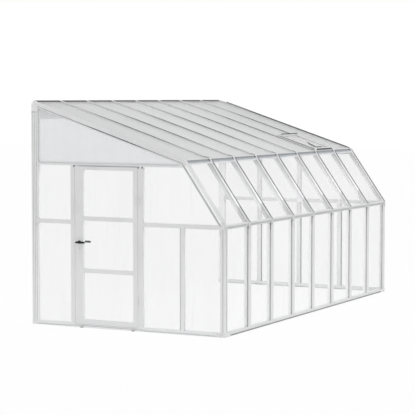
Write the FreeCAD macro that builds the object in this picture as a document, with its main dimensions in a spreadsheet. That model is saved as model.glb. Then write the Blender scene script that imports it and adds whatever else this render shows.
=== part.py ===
import FreeCAD, Part
import math
import os

import Sketcher

# A lean-to sunroom: white profile frame, glazed front and gables, twin-wall roof, hinged door, roof vent.
# +X runs along the house wall, +Y points to the wall, +Z is up.
# The origin is on the floor, midway between the gables and midway from the front to the wall.
# The door is in the gable at -X. All lengths are in millimetres, all angles in degrees.

SIZES = {
    # overall form
    "overall_length": 5000.0,
    "overall_depth": 2570.0,
    "ridge_height": 2667.0,
    "eave_height": 1991.0,
    "eave_setback": 517.0,
    "knee_height": 1252.0,
    # glazing bar section: cap outside, slot for the glazing, body inside
    "bar_width": 50.0,
    "bar_depth": 56.0,
    "end_bar_width": 58.0,
    "cap_thickness": 12.0,
    "web_width": 26.0,
    "slot_bite": 12.0,
    "pane_thickness": 4.0,
    "panel_thickness": 6.0,
    "slot_clearance": 0.3,
    "edge_gap": 1.5,
    "bar_rounding": 3.0,
    "corner_rounding": 8.0,
    # rails along the length
    "base_height": 48.0,
    "groove_height": 5.0,
    "groove_depth": 3.0,
    "groove_level": 20.0,
    "waist_drop": 34.0,
    "waist_rise": 24.0,
    "eave_drop": 30.0,
    "eave_rise": 26.0,
    "wall_beam_depth": 60.0,
    "wall_beam_height": 221.0,
    "seal_width": 26.0,
    "eave_seal_width": 24.0,
    "eave_seal_drop": 6.0,
    "eave_seal_thickness": 3.0,
    "panel_wall_gap": 6.0,
    # knees
    "knee_leg": 62.0,
    "knee_thickness": 4.0,
    "knee_rounding": 14.0,
    # wall posts and caps
    "wall_post_depth": 88.0,
    "post_groove_width": 5.0,
    "post_groove_pitch": 24.0,
    "wall_cap_height": 136.0,
    "wall_cap_rounding": 36.0,
    "cap_ear_length": 22.0,
    "foot_rounding": 12.0,
    "shoe_thickness": 3.0,
    "shoe_along_front": 150.0,
    "shoe_along_gable": 105.0,
    # gable rails and studs
    "gable_waist_rise": 13.0,
    "gable_waist_height": 48.0,
    "head_rail_height": 36.0,
    "stud_width": 51.0,
    "stud_from_front": 544.0,
    "far_stud_pitch": 623.0,
    "far_stud_from_front": 674.0,
    # doorway
    "hinge_jamb_width": 66.0,
    "hinge_jamb_from_front": 1053.0,
    "lock_jamb_width": 55.0,
    "doorway_width": 852.0,
    "threshold_height": 34.0,
    "door_gap": 3.0,
    "door_thickness": 42.0,
    "stop_width": 12.0,
    "seal_gap": 2.0,
    # door leaf
    "lock_stile_width": 110.0,
    "hinge_stile_width": 60.0,
    "door_top_rail": 48.0,
    "door_mid_rail": 50.0,
    "door_bottom_rail": 62.0,
    "upper_mid_level": 1262.0,
    "lower_mid_level": 648.0,
    "door_cap": 19.0,
    # hinges
    "hinge_upper_level": 1505.0,
    "hinge_lower_level": 350.0,
    "hinge_height": 84.0,
    "hinge_plate_width": 30.0,
    "hinge_plate": 3.0,
    "knuckle_radius": 7.5,
    "knuckle_offset": 8.0,
    "pin_radius": 4.0,
    "pin_clearance": 0.05,
    "knuckle_gap": 0.4,
    # lock and lever
    "lever_level": 1007.0,
    "lever_backset": 59.0,
    "cylinder_drop": 80.0,
    "lock_case_thickness": 16.0,
    "lock_case_depth": 78.0,
    "lock_case_above": 34.0,
    "lock_case_below": 108.0,
    "bolt_thickness": 11.0,
    "latch_height": 18.0,
    "latch_length": 40.0,
    "latch_throw": 10.0,
    "dead_bolt_height": 18.0,
    "dead_bolt_length": 38.0,
    "dead_bolt_drop": 54.0,
    "bolt_clearance": 0.3,
    "spindle_size": 8.0,
    "spindle_hole_radius": 8.0,
    "lever_neck_radius": 9.0,
    "lever_reach": 46.0,
    "lever_length": 104.0,
    "lever_tail": 24.0,
    "lever_height": 24.0,
    "lever_thickness": 13.0,
    "rose_radius": 19.0,
    "rose_thickness": 8.0,
    "cylinder_radius": 9.0,
    "cylinder_proud": 7.0,
    "plug_radius": 6.0,
    "key_slot_width": 2.0,
    "key_slot_depth": 6.0,
    "strike_thickness": 1.5,
    "strike_margin": 16.0,
    # threshold lugs
    "lug_length": 30.0,
    "lug_width": 26.0,
    "lug_height": 8.0,
    # roof vent
    "vent_from_eave": 30.0,
    "vent_length": 570.0,
    "vent_side_gap": 3.0,
    "sash_height": 24.0,
    "sash_bar_width": 34.0,
    "curb_width": 36.0,
    "curb_depth": 40.0,
    "vent_rod_radius": 4.0,
    "vent_barrel_radius": 8.5,
    "vent_block_length": 40.0,
    "vent_hinge_gap": 6.5,
    "stay_rod_radius": 4.0,
    "stay_rod_length": 150.0,
    "stay_arm_reach": 190.0,
    "stay_arm_offset": 110.0,
    "stay_arm_width": 20.0,
    "stay_arm_thickness": 7.0,
    "stay_hole_reach": 176.0,
    "stay_from_rail": 80.0,
    "stay_clip_width": 12.0,
    "stay_clip_wall": 3.0,
    "peg_radius": 2.2,
    "peg_gap": 0.5,
    "peg_plate_thickness": 5.0,
    "peg_plate_width": 44.0,
    "peg_plate_depth": 32.0,
    "peg_reach": 56.0,
    # anchor and wall screw holes
    "anchor_radius": 4.5,
    "anchor_spacing": 1800.0,
    "wall_screw_radius": 4.0,
    "wall_screw_low": 500.0,
    "wall_screw_high": 2000.0,
    "beam_screw_drop": 105.0,
}
BAYS = 8
VENT_BAY = 6
BEAM_SCREW_BAYS = 2

doc = FreeCAD.newDocument("sunroom")
sheet = doc.addObject("Spreadsheet::Sheet", "Sizes")
for row, (alias, value) in enumerate(SIZES.items(), start=1):
    sheet.set(f"A{row}", alias)
    sheet.set(f"B{row}", str(value))
    sheet.setAlias(f"B{row}", alias)
doc.recompute()


class Size:
    """A length bound to the sheet: the formula that makes it, and its value now."""

    def __init__(self, text, value):
        self.text = text
        self.value = value

    def __add__(self, other):
        other = as_size(other)
        return Size(f"({self.text} + {other.text})", self.value + other.value)

    def __sub__(self, other):
        other = as_size(other)
        return Size(f"({self.text} - {other.text})", self.value - other.value)

    def __mul__(self, other):
        other = as_size(other)
        return Size(f"({self.text} * {other.text})", self.value * other.value)

    def __truediv__(self, other):
        other = as_size(other)
        return Size(f"({self.text} / {other.text})", self.value / other.value)

    def __neg__(self):
        return Size(f"(0 - {self.text})", -self.value)

    def __radd__(self, other):
        return as_size(other) + self

    def __rsub__(self, other):
        return as_size(other) - self

    def __rmul__(self, other):
        return as_size(other) * self

    def __rtruediv__(self, other):
        return as_size(other) / self


def as_size(number):
    """Give a plain number the form of a Size."""
    if isinstance(number, Size):
        return number
    return Size(f"{float(number):.6f}", float(number))


def named(alias):
    """A size straight from the sheet."""
    return Size(f"Sizes.{alias}", float(sheet.get(alias)))


def root(size):
    """The square root of a Size."""
    return Size(f"sqrt({size.text})", math.sqrt(size.value))


class Piece:
    """One sub-part: a body that grows from sketches on its own origin planes."""

    def __init__(self, label):
        self.body = doc.addObject("PartDesign::Body", label)
        self.body.Label = label
        self.cuts = []
        PIECES.append(self)

    def origin_feature(self, role):
        """One of the body's own planes or axes."""
        return next(item for item in self.body.Origin.OriginFeatures if item.Role == role)

    def sketch(self, role, level):
        """An empty sketch, parallel to an origin plane, at a level along that plane's normal."""
        sketch = self.body.newObject("Sketcher::SketchObject", "outline")
        sketch.AttachmentSupport = [(self.origin_feature(role), "")]
        sketch.MapMode = "FlatFace"
        sketch.setExpression("AttachmentOffset.Base.z", as_size(level).text)
        return sketch

    def outline(self, role, level, points):
        """A closed outline through points, each held to the sheet by two distances."""
        sketch = self.sketch(role, level)
        points = [(as_size(across), as_size(height)) for across, height in points]
        spots = [FreeCAD.Vector(across.value, height.value, 0) for across, height in points]
        for index, spot in enumerate(spots):
            sketch.addGeometry(Part.LineSegment(spot, spots[(index + 1) % len(spots)]), False)
        for index in range(len(spots)):
            sketch.addConstraint(Sketcher.Constraint("Coincident", index, 2, (index + 1) % len(spots), 1))
        for index, (across, height) in enumerate(points):
            self.hold(sketch, "DistanceX", index, 1, across)
            self.hold(sketch, "DistanceY", index, 1, height)
        return sketch

    def circle(self, role, level, across, height, radius):
        """A circle held to the sheet by its centre and radius."""
        sketch = self.sketch(role, level)
        across, height, radius = as_size(across), as_size(height), as_size(radius)
        centre = FreeCAD.Vector(across.value, height.value, 0)
        sketch.addGeometry(Part.Circle(centre, FreeCAD.Vector(0, 0, 1), radius.value), False)
        self.hold(sketch, "DistanceX", 0, 3, across)
        self.hold(sketch, "DistanceY", 0, 3, height)
        index = sketch.addConstraint(Sketcher.Constraint("Radius", 0, radius.value))
        sketch.setExpression(f"Constraints[{index}]", radius.text)
        return sketch

    @staticmethod
    def hold(sketch, kind, line, end, size):
        """Hold one end of a line at a distance from the sketch's origin."""
        index = sketch.addConstraint(Sketcher.Constraint(kind, -1, 1, line, end, size.value))
        sketch.setExpression(f"Constraints[{index}]", size.text)

    def grow(self, sketch, length):
        """Add a sketch's area as a prism along its plane's normal."""
        pad = self.body.newObject("PartDesign::Pad", "prism")
        pad.Profile = sketch
        pad.setExpression("Length", as_size(length).text)
        self.body.Tip = pad

    def cut(self, sketch, length):
        """Take a sketch's area away along its plane's normal."""
        pocket = self.body.newObject("PartDesign::Pocket", "hollow")
        pocket.Profile = sketch
        pocket.Reversed = True
        pocket.setExpression("Length", as_size(length).text)
        self.body.Tip = pocket
        self.cuts.append(pocket)

    def slab(self, points, x_from, x_to):
        """Add a prism along X, from an outline in Y and Z."""
        self.grow(self.outline("YZ_Plane", x_from, points), x_to - x_from)

    def beam(self, points, y_from, y_to):
        """Add a prism along Y, from an outline in X and Z."""
        self.grow(self.outline("XZ_Plane", -as_size(y_to), points), y_to - y_from)

    def column(self, points, z_from, z_to):
        """Add a prism along Z, from an outline in X and Y."""
        self.grow(self.outline("XY_Plane", z_from, points), z_to - z_from)

    def plate(self, points, run, above_from, above_to):
        """Add a plate parallel to a run of the bows, from an outline in X and along the run."""
        sketch = self.outline("XY_Plane", 0, points)
        base = run.at(0, -as_size(above_from))
        tilt = Size(f"atan2({run.sin.text}; {run.cos.text})", math.atan2(run.sin.value, run.cos.value))
        sketch.AttachmentOffset = FreeCAD.Placement(
            FreeCAD.Vector(0, base[0].value, base[1].value),
            FreeCAD.Rotation(FreeCAD.Vector(1, 0, 0), math.degrees(tilt.value)))
        sketch.setExpression("AttachmentOffset.Base.y", base[0].text)
        sketch.setExpression("AttachmentOffset.Base.z", base[1].text)
        sketch.setExpression("AttachmentOffset.Rotation.Angle", tilt.text)
        self.grow(sketch, above_to - above_from)

    def round_edges(self, radius, chosen):
        """Round the edges of the piece so far that chosen picks by their ends."""
        doc.recompute()
        tip = self.body.Tip
        names = []
        for index, edge in enumerate(tip.Shape.Edges, start=1):
            ends = [vertex.Point for vertex in edge.Vertexes]
            if len(ends) == 2 and chosen(*ends):
                names.append(f"Edge{index}")
        if not names:
            raise ValueError(f"{self.body.Label} has no edge to round")
        fillet = self.body.newObject("PartDesign::Fillet", "rounding")
        fillet.Base = (tip, names)
        fillet.setExpression("Radius", as_size(radius).text)
        self.body.Tip = fillet

    def row(self, count, pitch):
        """Repeat the whole piece along X."""
        pattern = self.body.newObject("PartDesign::LinearPattern", "row")
        pattern.TransformMode = "Whole shape"
        pattern.Direction = (self.origin_feature("X_Axis"), [""])
        pattern.setExpression("Length", (pitch * (count - 1)).text)
        pattern.Occurrences = count
        self.body.Tip = pattern


PIECES = []
NEAR = 0.01

# Places that many pieces share.
half = named("overall_length") / 2
front = -named("overall_depth") / 2
wall = named("overall_depth") / 2
knee_height = named("knee_height")
bar_width = named("bar_width")
bar_depth = named("bar_depth")
end_width = named("end_bar_width")
cap = named("cap_thickness")
web = named("web_width")
bite = named("slot_bite")
gap = named("edge_gap")
clear = named("slot_clearance")
pane_slot = named("pane_thickness") + 2 * clear
panel_slot = named("panel_thickness") + 2 * clear
base_height = named("base_height")
pitch = (named("overall_length") - end_width) / BAYS
first_bow = end_width / 2 - half


class Run:
    """A straight run of the bows in Y and Z: a start, a direction and the inward normal."""

    def __init__(self, start, end):
        self.start = start
        rise = end[1] - start[1]
        going = end[0] - start[0]
        self.length = root(going * going + rise * rise)
        self.cos = going / self.length
        self.sin = rise / self.length

    def at(self, along, depth):
        """The point at a distance along the run and a depth inward from the outer face."""
        y = self.start[0] + along * self.cos + depth * self.sin
        z = self.start[1] + along * self.sin - depth * self.cos
        return y, z

    def at_height(self, z, depth):
        """The point of the line at a depth that has this height."""
        y = self.start[0] + (z - self.start[1]) * self.cos / self.sin + depth / self.sin
        return y, z

    def at_reach(self, y, depth):
        """The point of the line at a depth that has this Y."""
        z = self.start[1] + (y - self.start[0]) * self.sin / self.cos - depth / self.cos
        return y, z

    def strip(self, along_from, along_to, depth_from, depth_to):
        """A rectangle of the run, with square ends."""
        return [
            self.at(along_from, depth_from),
            self.at(along_to, depth_from),
            self.at(along_to, depth_to),
            self.at(along_from, depth_to),
        ]

    def strip_to_reach(self, along_from, y_to, depth_from, depth_to):
        """A strip whose far end is cut upright at a given Y."""
        return [
            self.at(along_from, depth_from),
            self.at_reach(y_to, depth_from),
            self.at_reach(y_to, depth_to),
            self.at(along_from, depth_to),
        ]


knee = (front, knee_height)
eave = (front + named("eave_setback"), named("eave_height"))
ridge = (wall, named("ridge_height"))
slope = Run(knee, eave)
roof = Run(eave, ridge)


def upright(z, depth):
    """A point on the front wall at a height and a depth behind its outer face."""
    return front + depth, as_size(z)


def rectangle(y_from, y_to, z_from, z_to):
    """Four corners of an upright rectangle."""
    return [(y_from, z_from), (y_to, z_from), (y_to, z_to), (y_from, z_to)]


# The inner corners of the two knees, where the runs' inner faces meet.
lower_inner_turn = bar_depth * (1 - slope.sin) / slope.cos
lower_inner = (front + bar_depth, knee_height - lower_inner_turn)
turn_sin = slope.sin * roof.cos - slope.cos * roof.sin
turn_cos = slope.cos * roof.cos + slope.sin * roof.sin
upper_turn = turn_sin / (1 + turn_cos)
upper_inner = slope.at(slope.length - bar_depth * upper_turn, bar_depth)

post_top = knee_height - named("waist_drop")
slope_from = named("waist_rise")
slope_to = slope.length - named("eave_drop")
roof_from = named("eave_rise")
wall_post_front = wall - named("wall_post_depth")
cap_bottom = named("ridge_height") - named("wall_cap_height")
head_top = upper_inner[1]
head_bottom = head_top - named("head_rail_height")
waist_top = knee_height + named("gable_waist_rise")
waist_bottom = waist_top - named("gable_waist_height")
corner_inner = front + bar_depth


def end_spans(end):
    """How layers of a gable piece lie along X: end is -1 for the door end and 1 for the far end."""
    def span(inner_from, inner_to):
        """An X span, given as two distances in from the gable's outer face."""
        if end < 0:
            return inner_from - half, inner_to - half
        return half - inner_to, half - inner_from
    return span


def layer(piece, end, inner_from, inner_to, outline):
    """Add one layer of a gable piece between two distances in from the gable's outer face."""
    x_from, x_to = end_spans(end)(as_size(inner_from), as_size(inner_to))
    piece.slab(outline, x_from, x_to)


def make_base():
    """Base rails with glazing slots and shadow grooves, feet, threshold lugs."""
    groove_low = named("groove_level")
    groove_high = groove_low + named("groove_height")
    groove = named("groove_depth")

    def section(outer, inward):
        """The rail's section; inward is 1 or -1, the way from the outer face to the room."""
        return [
            (outer, 0),
            (outer + bar_depth * inward, 0),
            (outer + bar_depth * inward, base_height),
            (outer + (cap + pane_slot) * inward, base_height),
            (outer + (cap + pane_slot) * inward, base_height - bite),
            (outer + cap * inward, base_height - bite),
            (outer + cap * inward, base_height),
            (outer, base_height),
            (outer, groove_high),
            (outer + groove * inward, groove_high),
            (outer + groove * inward, groove_low),
            (outer, groove_low),
        ]

    anchor_inset = (bar_depth + cap + pane_slot) / 2
    anchor = named("anchor_radius")
    front_rail = Piece("base_rail_front")
    front_rail.slab(section(front, 1), end_width - half, half - end_width)
    for side in (-1, 1):
        x = first_bow + pitch * (BAYS / 2 + side * (BAYS / 2 - 1.5))
        front_rail.cut(front_rail.circle("XY_Plane", 0, x, front + anchor_inset, anchor), base_height)

    for end, label in ((-1, "base_rail_door_end"), (1, "base_rail_far_end")):
        rail = Piece(label)
        rail.beam(section(half * end, -end), corner_inner, wall_post_front)
        for side in (-1, 1):
            y = named("anchor_spacing") / 2 * side
            x = (half - anchor_inset) * end
            rail.cut(rail.circle("XY_Plane", 0, x, y, anchor), base_height)
        if end < 0:
            doorway = rectangle(hinge_jamb_face, lock_jamb_face, named("threshold_height"), base_height)
            rail.cut(rail.outline("YZ_Plane", -half, doorway), bar_depth)

    feet = Piece("base_feet")
    for end in (-1, 1):
        layer(feet, end, 0, end_width, rectangle(front, corner_inner, 0, base_height))
        layer(feet, end, 0, end_width, rectangle(wall_post_front, wall, 0, base_height))

    # Each front foot is a moulded shoe: its sides lap over the ends of the two rails that meet there.
    shoe = named("shoe_thickness")
    shoe_front = front - shoe
    for end in (-1, 1):
        layer(feet, end, -shoe, 0, rectangle(shoe_front, front + named("shoe_along_gable"), 0, base_height))
        layer(feet, end, 0, named("shoe_along_front"), rectangle(shoe_front, front, 0, base_height))
    feet.round_edges(
        named("foot_rounding"),
        lambda a, b: abs(a.x - b.x) < NEAR and abs(a.y - b.y) < NEAR
        and abs(abs(a.x) - half.value - shoe.value) < NEAR and abs(a.y - shoe_front.value) < NEAR)

    # The panes beside the feet enter them as they enter the rails.
    inner_edge = end_width / 2 + web / 2
    slot_floor = base_height - bite

    def foot_slot(x_from, x_to, y_from, y_to):
        corners = [(x_from, y_from), (x_to, y_from), (x_to, y_to), (x_from, y_to)]
        feet.cut(feet.outline("XY_Plane", slot_floor, corners), bite)
    for end in (-1, 1):
        span = end_spans(end)
        foot_slot(*span(inner_edge, end_width), front + cap, front + cap + pane_slot)
        foot_slot(*span(cap, cap + pane_slot), corner_inner - bite, corner_inner)
        foot_slot(*span(cap, cap + panel_slot), wall_post_front, wall_post_front + bite)

    lugs = Piece("threshold_lugs")
    lug_half = named("lug_width") / 2
    lug_tip = -half - named("lug_length")
    for face, side in ((lock_jamb_face, -1), (hinge_jamb_face, 1)):
        middle = face + (named("lock_stile_width") - named("stop_width")) * side
        if side > 0:
            middle = face + named("hinge_stile_width") * side
        lugs.slab(rectangle(middle - lug_half, middle + lug_half, 0, named("lug_height")), lug_tip, -half)
    lugs.round_edges(
        named("lug_height") / 2,
        lambda a, b: abs(a.x - lug_tip.value) < NEAR and abs(b.x - lug_tip.value) < NEAR
        and abs(a.y - b.y) < NEAR)


def glazing_bar(piece, run, along_from, along_to, slot):
    """An intermediate bar of a run: cap, web between the two glazing slots, and body."""
    wide_from = first_bow + pitch - bar_width / 2
    thin_from = first_bow + pitch - web / 2
    piece.slab(run.strip(along_from, along_to, 0, cap), wide_from, wide_from + bar_width)
    piece.slab(run.strip(along_from, along_to, cap, cap + slot), thin_from, thin_from + web)
    piece.slab(run.strip(along_from, along_to, cap + slot, bar_depth), wide_from, wide_from + bar_width)


def round_cap(piece, run):
    """Round the two long outer edges of a bar's cap."""
    normal = FreeCAD.Vector(0, run.sin.value, -run.cos.value)
    start = FreeCAD.Vector(0, run.start[0].value, run.start[1].value)

    def outer(a, b):
        along_x = abs(a.x - b.x) > NEAR
        level = abs((a - start).dot(normal)) < NEAR and abs((b - start).dot(normal)) < NEAR
        return level and not along_x
    piece.round_edges(named("bar_rounding"), outer)


class Front:
    """The front wall as a run of the bows: it starts on the floor and goes straight up."""

    start = (front, as_size(0))
    cos = as_size(0)
    sin = as_size(1)

    @staticmethod
    def at(along, depth):
        return upright(along, depth)

    @staticmethod
    def strip(along_from, along_to, depth_from, depth_to):
        return rectangle(front + depth_from, front + depth_to, along_from, along_to)


def end_bar(piece, end, strip_of, side_slot, under_slot):
    """A bar of an end bow, with a slot beside for the bays and a slot under for the gable's glazing.

    strip_of gives the bar's outline between two depths.
    """
    inner_edge = end_width / 2 + web / 2
    layer(piece, end, 0, cap, strip_of(0, bar_depth))
    layer(piece, end, cap, cap + under_slot, strip_of(0, bar_depth - bite))
    layer(piece, end, cap + under_slot, inner_edge, strip_of(0, bar_depth))
    layer(piece, end, inner_edge, end_width, strip_of(0, cap))
    layer(piece, end, inner_edge, end_width, strip_of(cap + side_slot, bar_depth))


def end_bars(label, run, strip_of, slot):
    """The two end bars of a run, one at each gable, with the edges where they meet the gables rounded."""
    piece = Piece(label)
    for end in (-1, 1):
        end_bar(piece, end, strip_of, slot, slot)
    normal = FreeCAD.Vector(0, run.sin.value, -run.cos.value)
    start = FreeCAD.Vector(0, run.start[0].value, run.start[1].value)

    def outer(a, b):
        on_face = abs((a - start).dot(normal)) < NEAR and abs((b - start).dot(normal)) < NEAR
        return on_face and abs(abs(a.x) - half.value) < NEAR and abs(a.x - b.x) < NEAR
    piece.round_edges(named("corner_rounding"), outer)


def make_bows():
    """Posts, sloped bars and rafters of the nine bows, and the knee connectors over their turns."""
    posts = Piece("front_posts")
    glazing_bar(posts, Front, base_height, post_top, pane_slot)
    round_cap(posts, Front)
    posts.row(BAYS - 1, pitch)

    bars = Piece("slope_bars")
    glazing_bar(bars, slope, slope_from, slope_to, pane_slot)
    round_cap(bars, slope)
    bars.row(BAYS - 1, pitch)

    # Each rafter's cap and web pass over the wall beam, and its body stops at the beam's face.
    rafters = Piece("rafters")
    wide_from = first_bow + pitch - bar_width / 2
    thin_from = first_bow + pitch - web / 2
    beam_face = wall - named("wall_beam_depth")
    body_top = cap + panel_slot
    rafters.slab(roof.strip_to_reach(roof_from, wall, 0, cap), wide_from, wide_from + bar_width)
    rafters.slab(roof.strip_to_reach(roof_from, wall, cap, body_top), thin_from, thin_from + web)
    body = roof.strip_to_reach(roof_from, beam_face, body_top, bar_depth)
    rafters.slab(body, wide_from, wide_from + bar_width)
    round_cap(rafters, roof)
    rafters.row(BAYS - 1, pitch)

    end_bars(
        "corner_posts", Front,
        lambda near, far: Front.strip(base_height, post_top, near, far), pane_slot)
    end_bars(
        "end_slope_bars", slope,
        lambda near, far: slope.strip(slope_from, slope_to, near, far), pane_slot)
    end_bars(
        "end_rafters", roof,
        lambda near, far: roof.strip_to_reach(roof_from, wall_post_front, near, far), panel_slot)

    make_knee("lower_knees", knee, upright, knee_height, slope, as_size(0))
    make_knee("upper_knees", eave, slope.at, slope.length, roof, as_size(0))


def make_knee(label, corner, below, below_at, above, above_at):
    """Bent connectors that cap the turn of every bow, on the outside of the bars they join."""
    leg = named("knee_leg")
    thick = named("knee_thickness")
    low_inner = below(below_at - leg, as_size(0))
    low_outer = below(below_at - leg, -thick)
    high_inner = above.at(above_at + leg, as_size(0))
    high_outer = above.at(above_at + leg, -thick)
    if below is upright:
        turn = (1 - slope.sin) / slope.cos
    else:
        turn = upper_turn
    corner_outer = below(below_at + thick * turn, -thick)
    knees = Piece(label)
    width = bar_width
    x_from = first_bow - width / 2
    knees.slab([low_inner, corner, high_inner, high_outer, corner_outer, low_outer], x_from, x_from + width)
    spot = FreeCAD.Vector(0, corner_outer[0].value, corner_outer[1].value)

    def bend(a, b):
        flat_a = FreeCAD.Vector(0, a.y, a.z)
        flat_b = FreeCAD.Vector(0, b.y, b.z)
        return (flat_a - spot).Length < NEAR and (flat_b - spot).Length < NEAR
    knees.round_edges(named("knee_rounding"), bend)
    knees.row(BAYS + 1, pitch)


def make_long_rails():
    """The front waist rail, the eave rail and the wall beam, and the seals along the roof's edges."""
    waist = Piece("waist_rail_front")
    waist.slab([
        upright(post_top, 0),
        knee,
        slope.at(slope_from, 0),
        slope.at(slope_from, cap),
        slope.at(slope_from - bite, cap),
        slope.at(slope_from - bite, cap + pane_slot),
        slope.at(slope_from, cap + pane_slot),
        slope.at(slope_from, bar_depth),
        lower_inner,
        upright(post_top, bar_depth),
        upright(post_top, cap + pane_slot),
        upright(post_top + bite, cap + pane_slot),
        upright(post_top + bite, cap),
        upright(post_top, cap),
    ], -half, half)

    eave_rail = Piece("eave_rail")
    eave_rail.slab([
        slope.at(slope_to, 0),
        eave,
        roof.at(roof_from, 0),
        roof.at(roof_from, cap),
        roof.at(roof_from - bite, cap),
        roof.at(roof_from - bite, cap + panel_slot),
        roof.at(roof_from, cap + panel_slot),
        roof.at(roof_from, bar_depth),
        upper_inner,
        slope.at(slope_to, bar_depth),
        slope.at(slope_to, cap + pane_slot),
        slope.at(slope_to + bite, cap + pane_slot),
        slope.at(slope_to + bite, cap),
        slope.at(slope_to, cap),
    ], -half, half)

    beam_face = wall - named("wall_beam_depth")
    beam_bottom = named("ridge_height") - named("wall_beam_height")
    beam_top = cap + panel_slot
    beam = Piece("wall_beam")
    beam.slab([
        (beam_face, beam_bottom),
        (wall, beam_bottom),
        roof.at_reach(wall, beam_top),
        roof.at_reach(beam_face, beam_top),
    ], end_width - half, half - end_width)
    screw_level = named("ridge_height") - named("beam_screw_drop")
    for side in (-1, 1):
        x = first_bow + pitch * (BAYS / 2 + side * (BEAM_SCREW_BAYS - 0.5))
        hole = beam.circle("XZ_Plane", -wall, x, screw_level, named("wall_screw_radius"))
        beam.cut(hole, named("wall_beam_depth"))

    # The dark strips that close the roof panels' upper ends, between the rafters' caps.
    strip_from = first_bow + bar_width / 2
    strip_to = first_bow + pitch - bar_width / 2
    ridge_seal = Piece("ridge_seal")
    seal_face = wall - named("seal_width")
    seal_outline = [
        roof.at_reach(seal_face, 0),
        roof.at_reach(wall, 0),
        roof.at_reach(wall, cap),
        roof.at_reach(seal_face, cap),
    ]
    second_bow = first_bow + pitch
    ridge_seal.slab(seal_outline, second_bow + end_width / 2, second_bow + pitch - end_width / 2)
    ridge_seal.row(BAYS - 2, pitch)
    # The strips of the outermost bays start where the wall caps' ears end.
    for end in (-1, 1):
        layer(ridge_seal, end, end_width + named("cap_ear_length"), pitch, seal_outline)

    # The dark drip strips of the eave: they lie on the rail's sloped face and hang over the panes' tops.
    eave_seal = Piece("eave_seal")
    seal_rise = named("eave_seal_thickness")
    seal_top = slope.length - named("eave_seal_drop")
    seal_bottom = seal_top - named("eave_seal_width")
    eave_seal.slab(slope.strip(seal_bottom, seal_top, -seal_rise, 0), strip_from, strip_to)
    eave_seal.row(BAYS, pitch)


def make_wall_posts():
    """Grooved posts on the house wall and the moulded caps that close them against the end rafters."""
    groove = named("groove_depth")
    groove_half = named("post_groove_width") / 2
    posts = Piece("wall_posts")
    for end in (-1, 1):
        layer(posts, end, groove, cap, rectangle(wall_post_front, wall, base_height, cap_bottom))
        edge = wall_post_front
        for index in range(3):
            middle = wall_post_front + named("post_groove_pitch") * (index + 0.75)
            layer(posts, end, 0, groove, rectangle(edge, middle - groove_half, base_height, cap_bottom))
            edge = middle + groove_half
        layer(posts, end, 0, groove, rectangle(edge, wall, base_height, cap_bottom))
        slotted = rectangle(wall_post_front + bite, wall, base_height, cap_bottom)
        layer(posts, end, cap, cap + panel_slot, slotted)
        inner_body = rectangle(wall_post_front, wall, base_height, cap_bottom)
        layer(posts, end, cap + panel_slot, end_width, inner_body)
        x = (half - end_width / 2 - web / 4) * end
        for level in ("wall_screw_low", "wall_screw_high"):
            hole = posts.circle("XZ_Plane", -wall, x, named(level), named("wall_screw_radius"))
            posts.cut(hole, named("wall_post_depth"))

    # Each cap has a large rounding at its wall side, and beside it the end rafter's slot,
    # where the outermost roof panels enter.
    caps = Piece("wall_caps")
    cap_outline = [
        (wall_post_front, cap_bottom),
        (wall, cap_bottom),
        ridge,
        roof.at_reach(wall_post_front, 0),
    ]
    inner_edge = end_width / 2 + web / 2
    rounding = named("wall_cap_rounding")
    for end in (-1, 1):
        layer(caps, end, 0, inner_edge, cap_outline)
    top = ridge[1].value
    caps.round_edges(rounding, lambda a, b: min(a.z, b.z) > top - NEAR)
    rounded_from = wall - rounding
    shoulder = ridge[1] - 2 * rounding
    under_panel = [
        (wall_post_front, cap_bottom),
        (wall, cap_bottom),
        (wall, shoulder),
        (rounded_from, shoulder),
        roof.at_reach(rounded_from, cap + panel_slot),
        roof.at_reach(wall_post_front, cap + panel_slot),
    ]
    over_panel = [
        roof.at_reach(wall_post_front, 0),
        roof.at_reach(rounded_from, 0),
        roof.at_reach(rounded_from, cap),
        roof.at_reach(wall_post_front, cap),
    ]
    # An ear of each cap lies over the outermost panel's upper corner and meets the ridge strip.
    ear = [
        roof.at_reach(rounded_from, 0),
        roof.at_reach(wall, 0),
        roof.at_reach(wall, cap),
        roof.at_reach(rounded_from, cap),
    ]
    for end in (-1, 1):
        layer(caps, end, inner_edge, end_width, under_panel)
        layer(caps, end, inner_edge, end_width, over_panel)
        layer(caps, end, inner_edge, end_width + named("cap_ear_length"), ear)
    roof_start = roof.at_reach(wall_post_front, 0)[1].value
    caps.round_edges(
        named("corner_rounding"),
        lambda a, b: abs(abs(a.x) - half.value) < NEAR and abs(abs(b.x) - half.value) < NEAR
        and min(a.z, b.z) > roof_start - NEAR)


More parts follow.
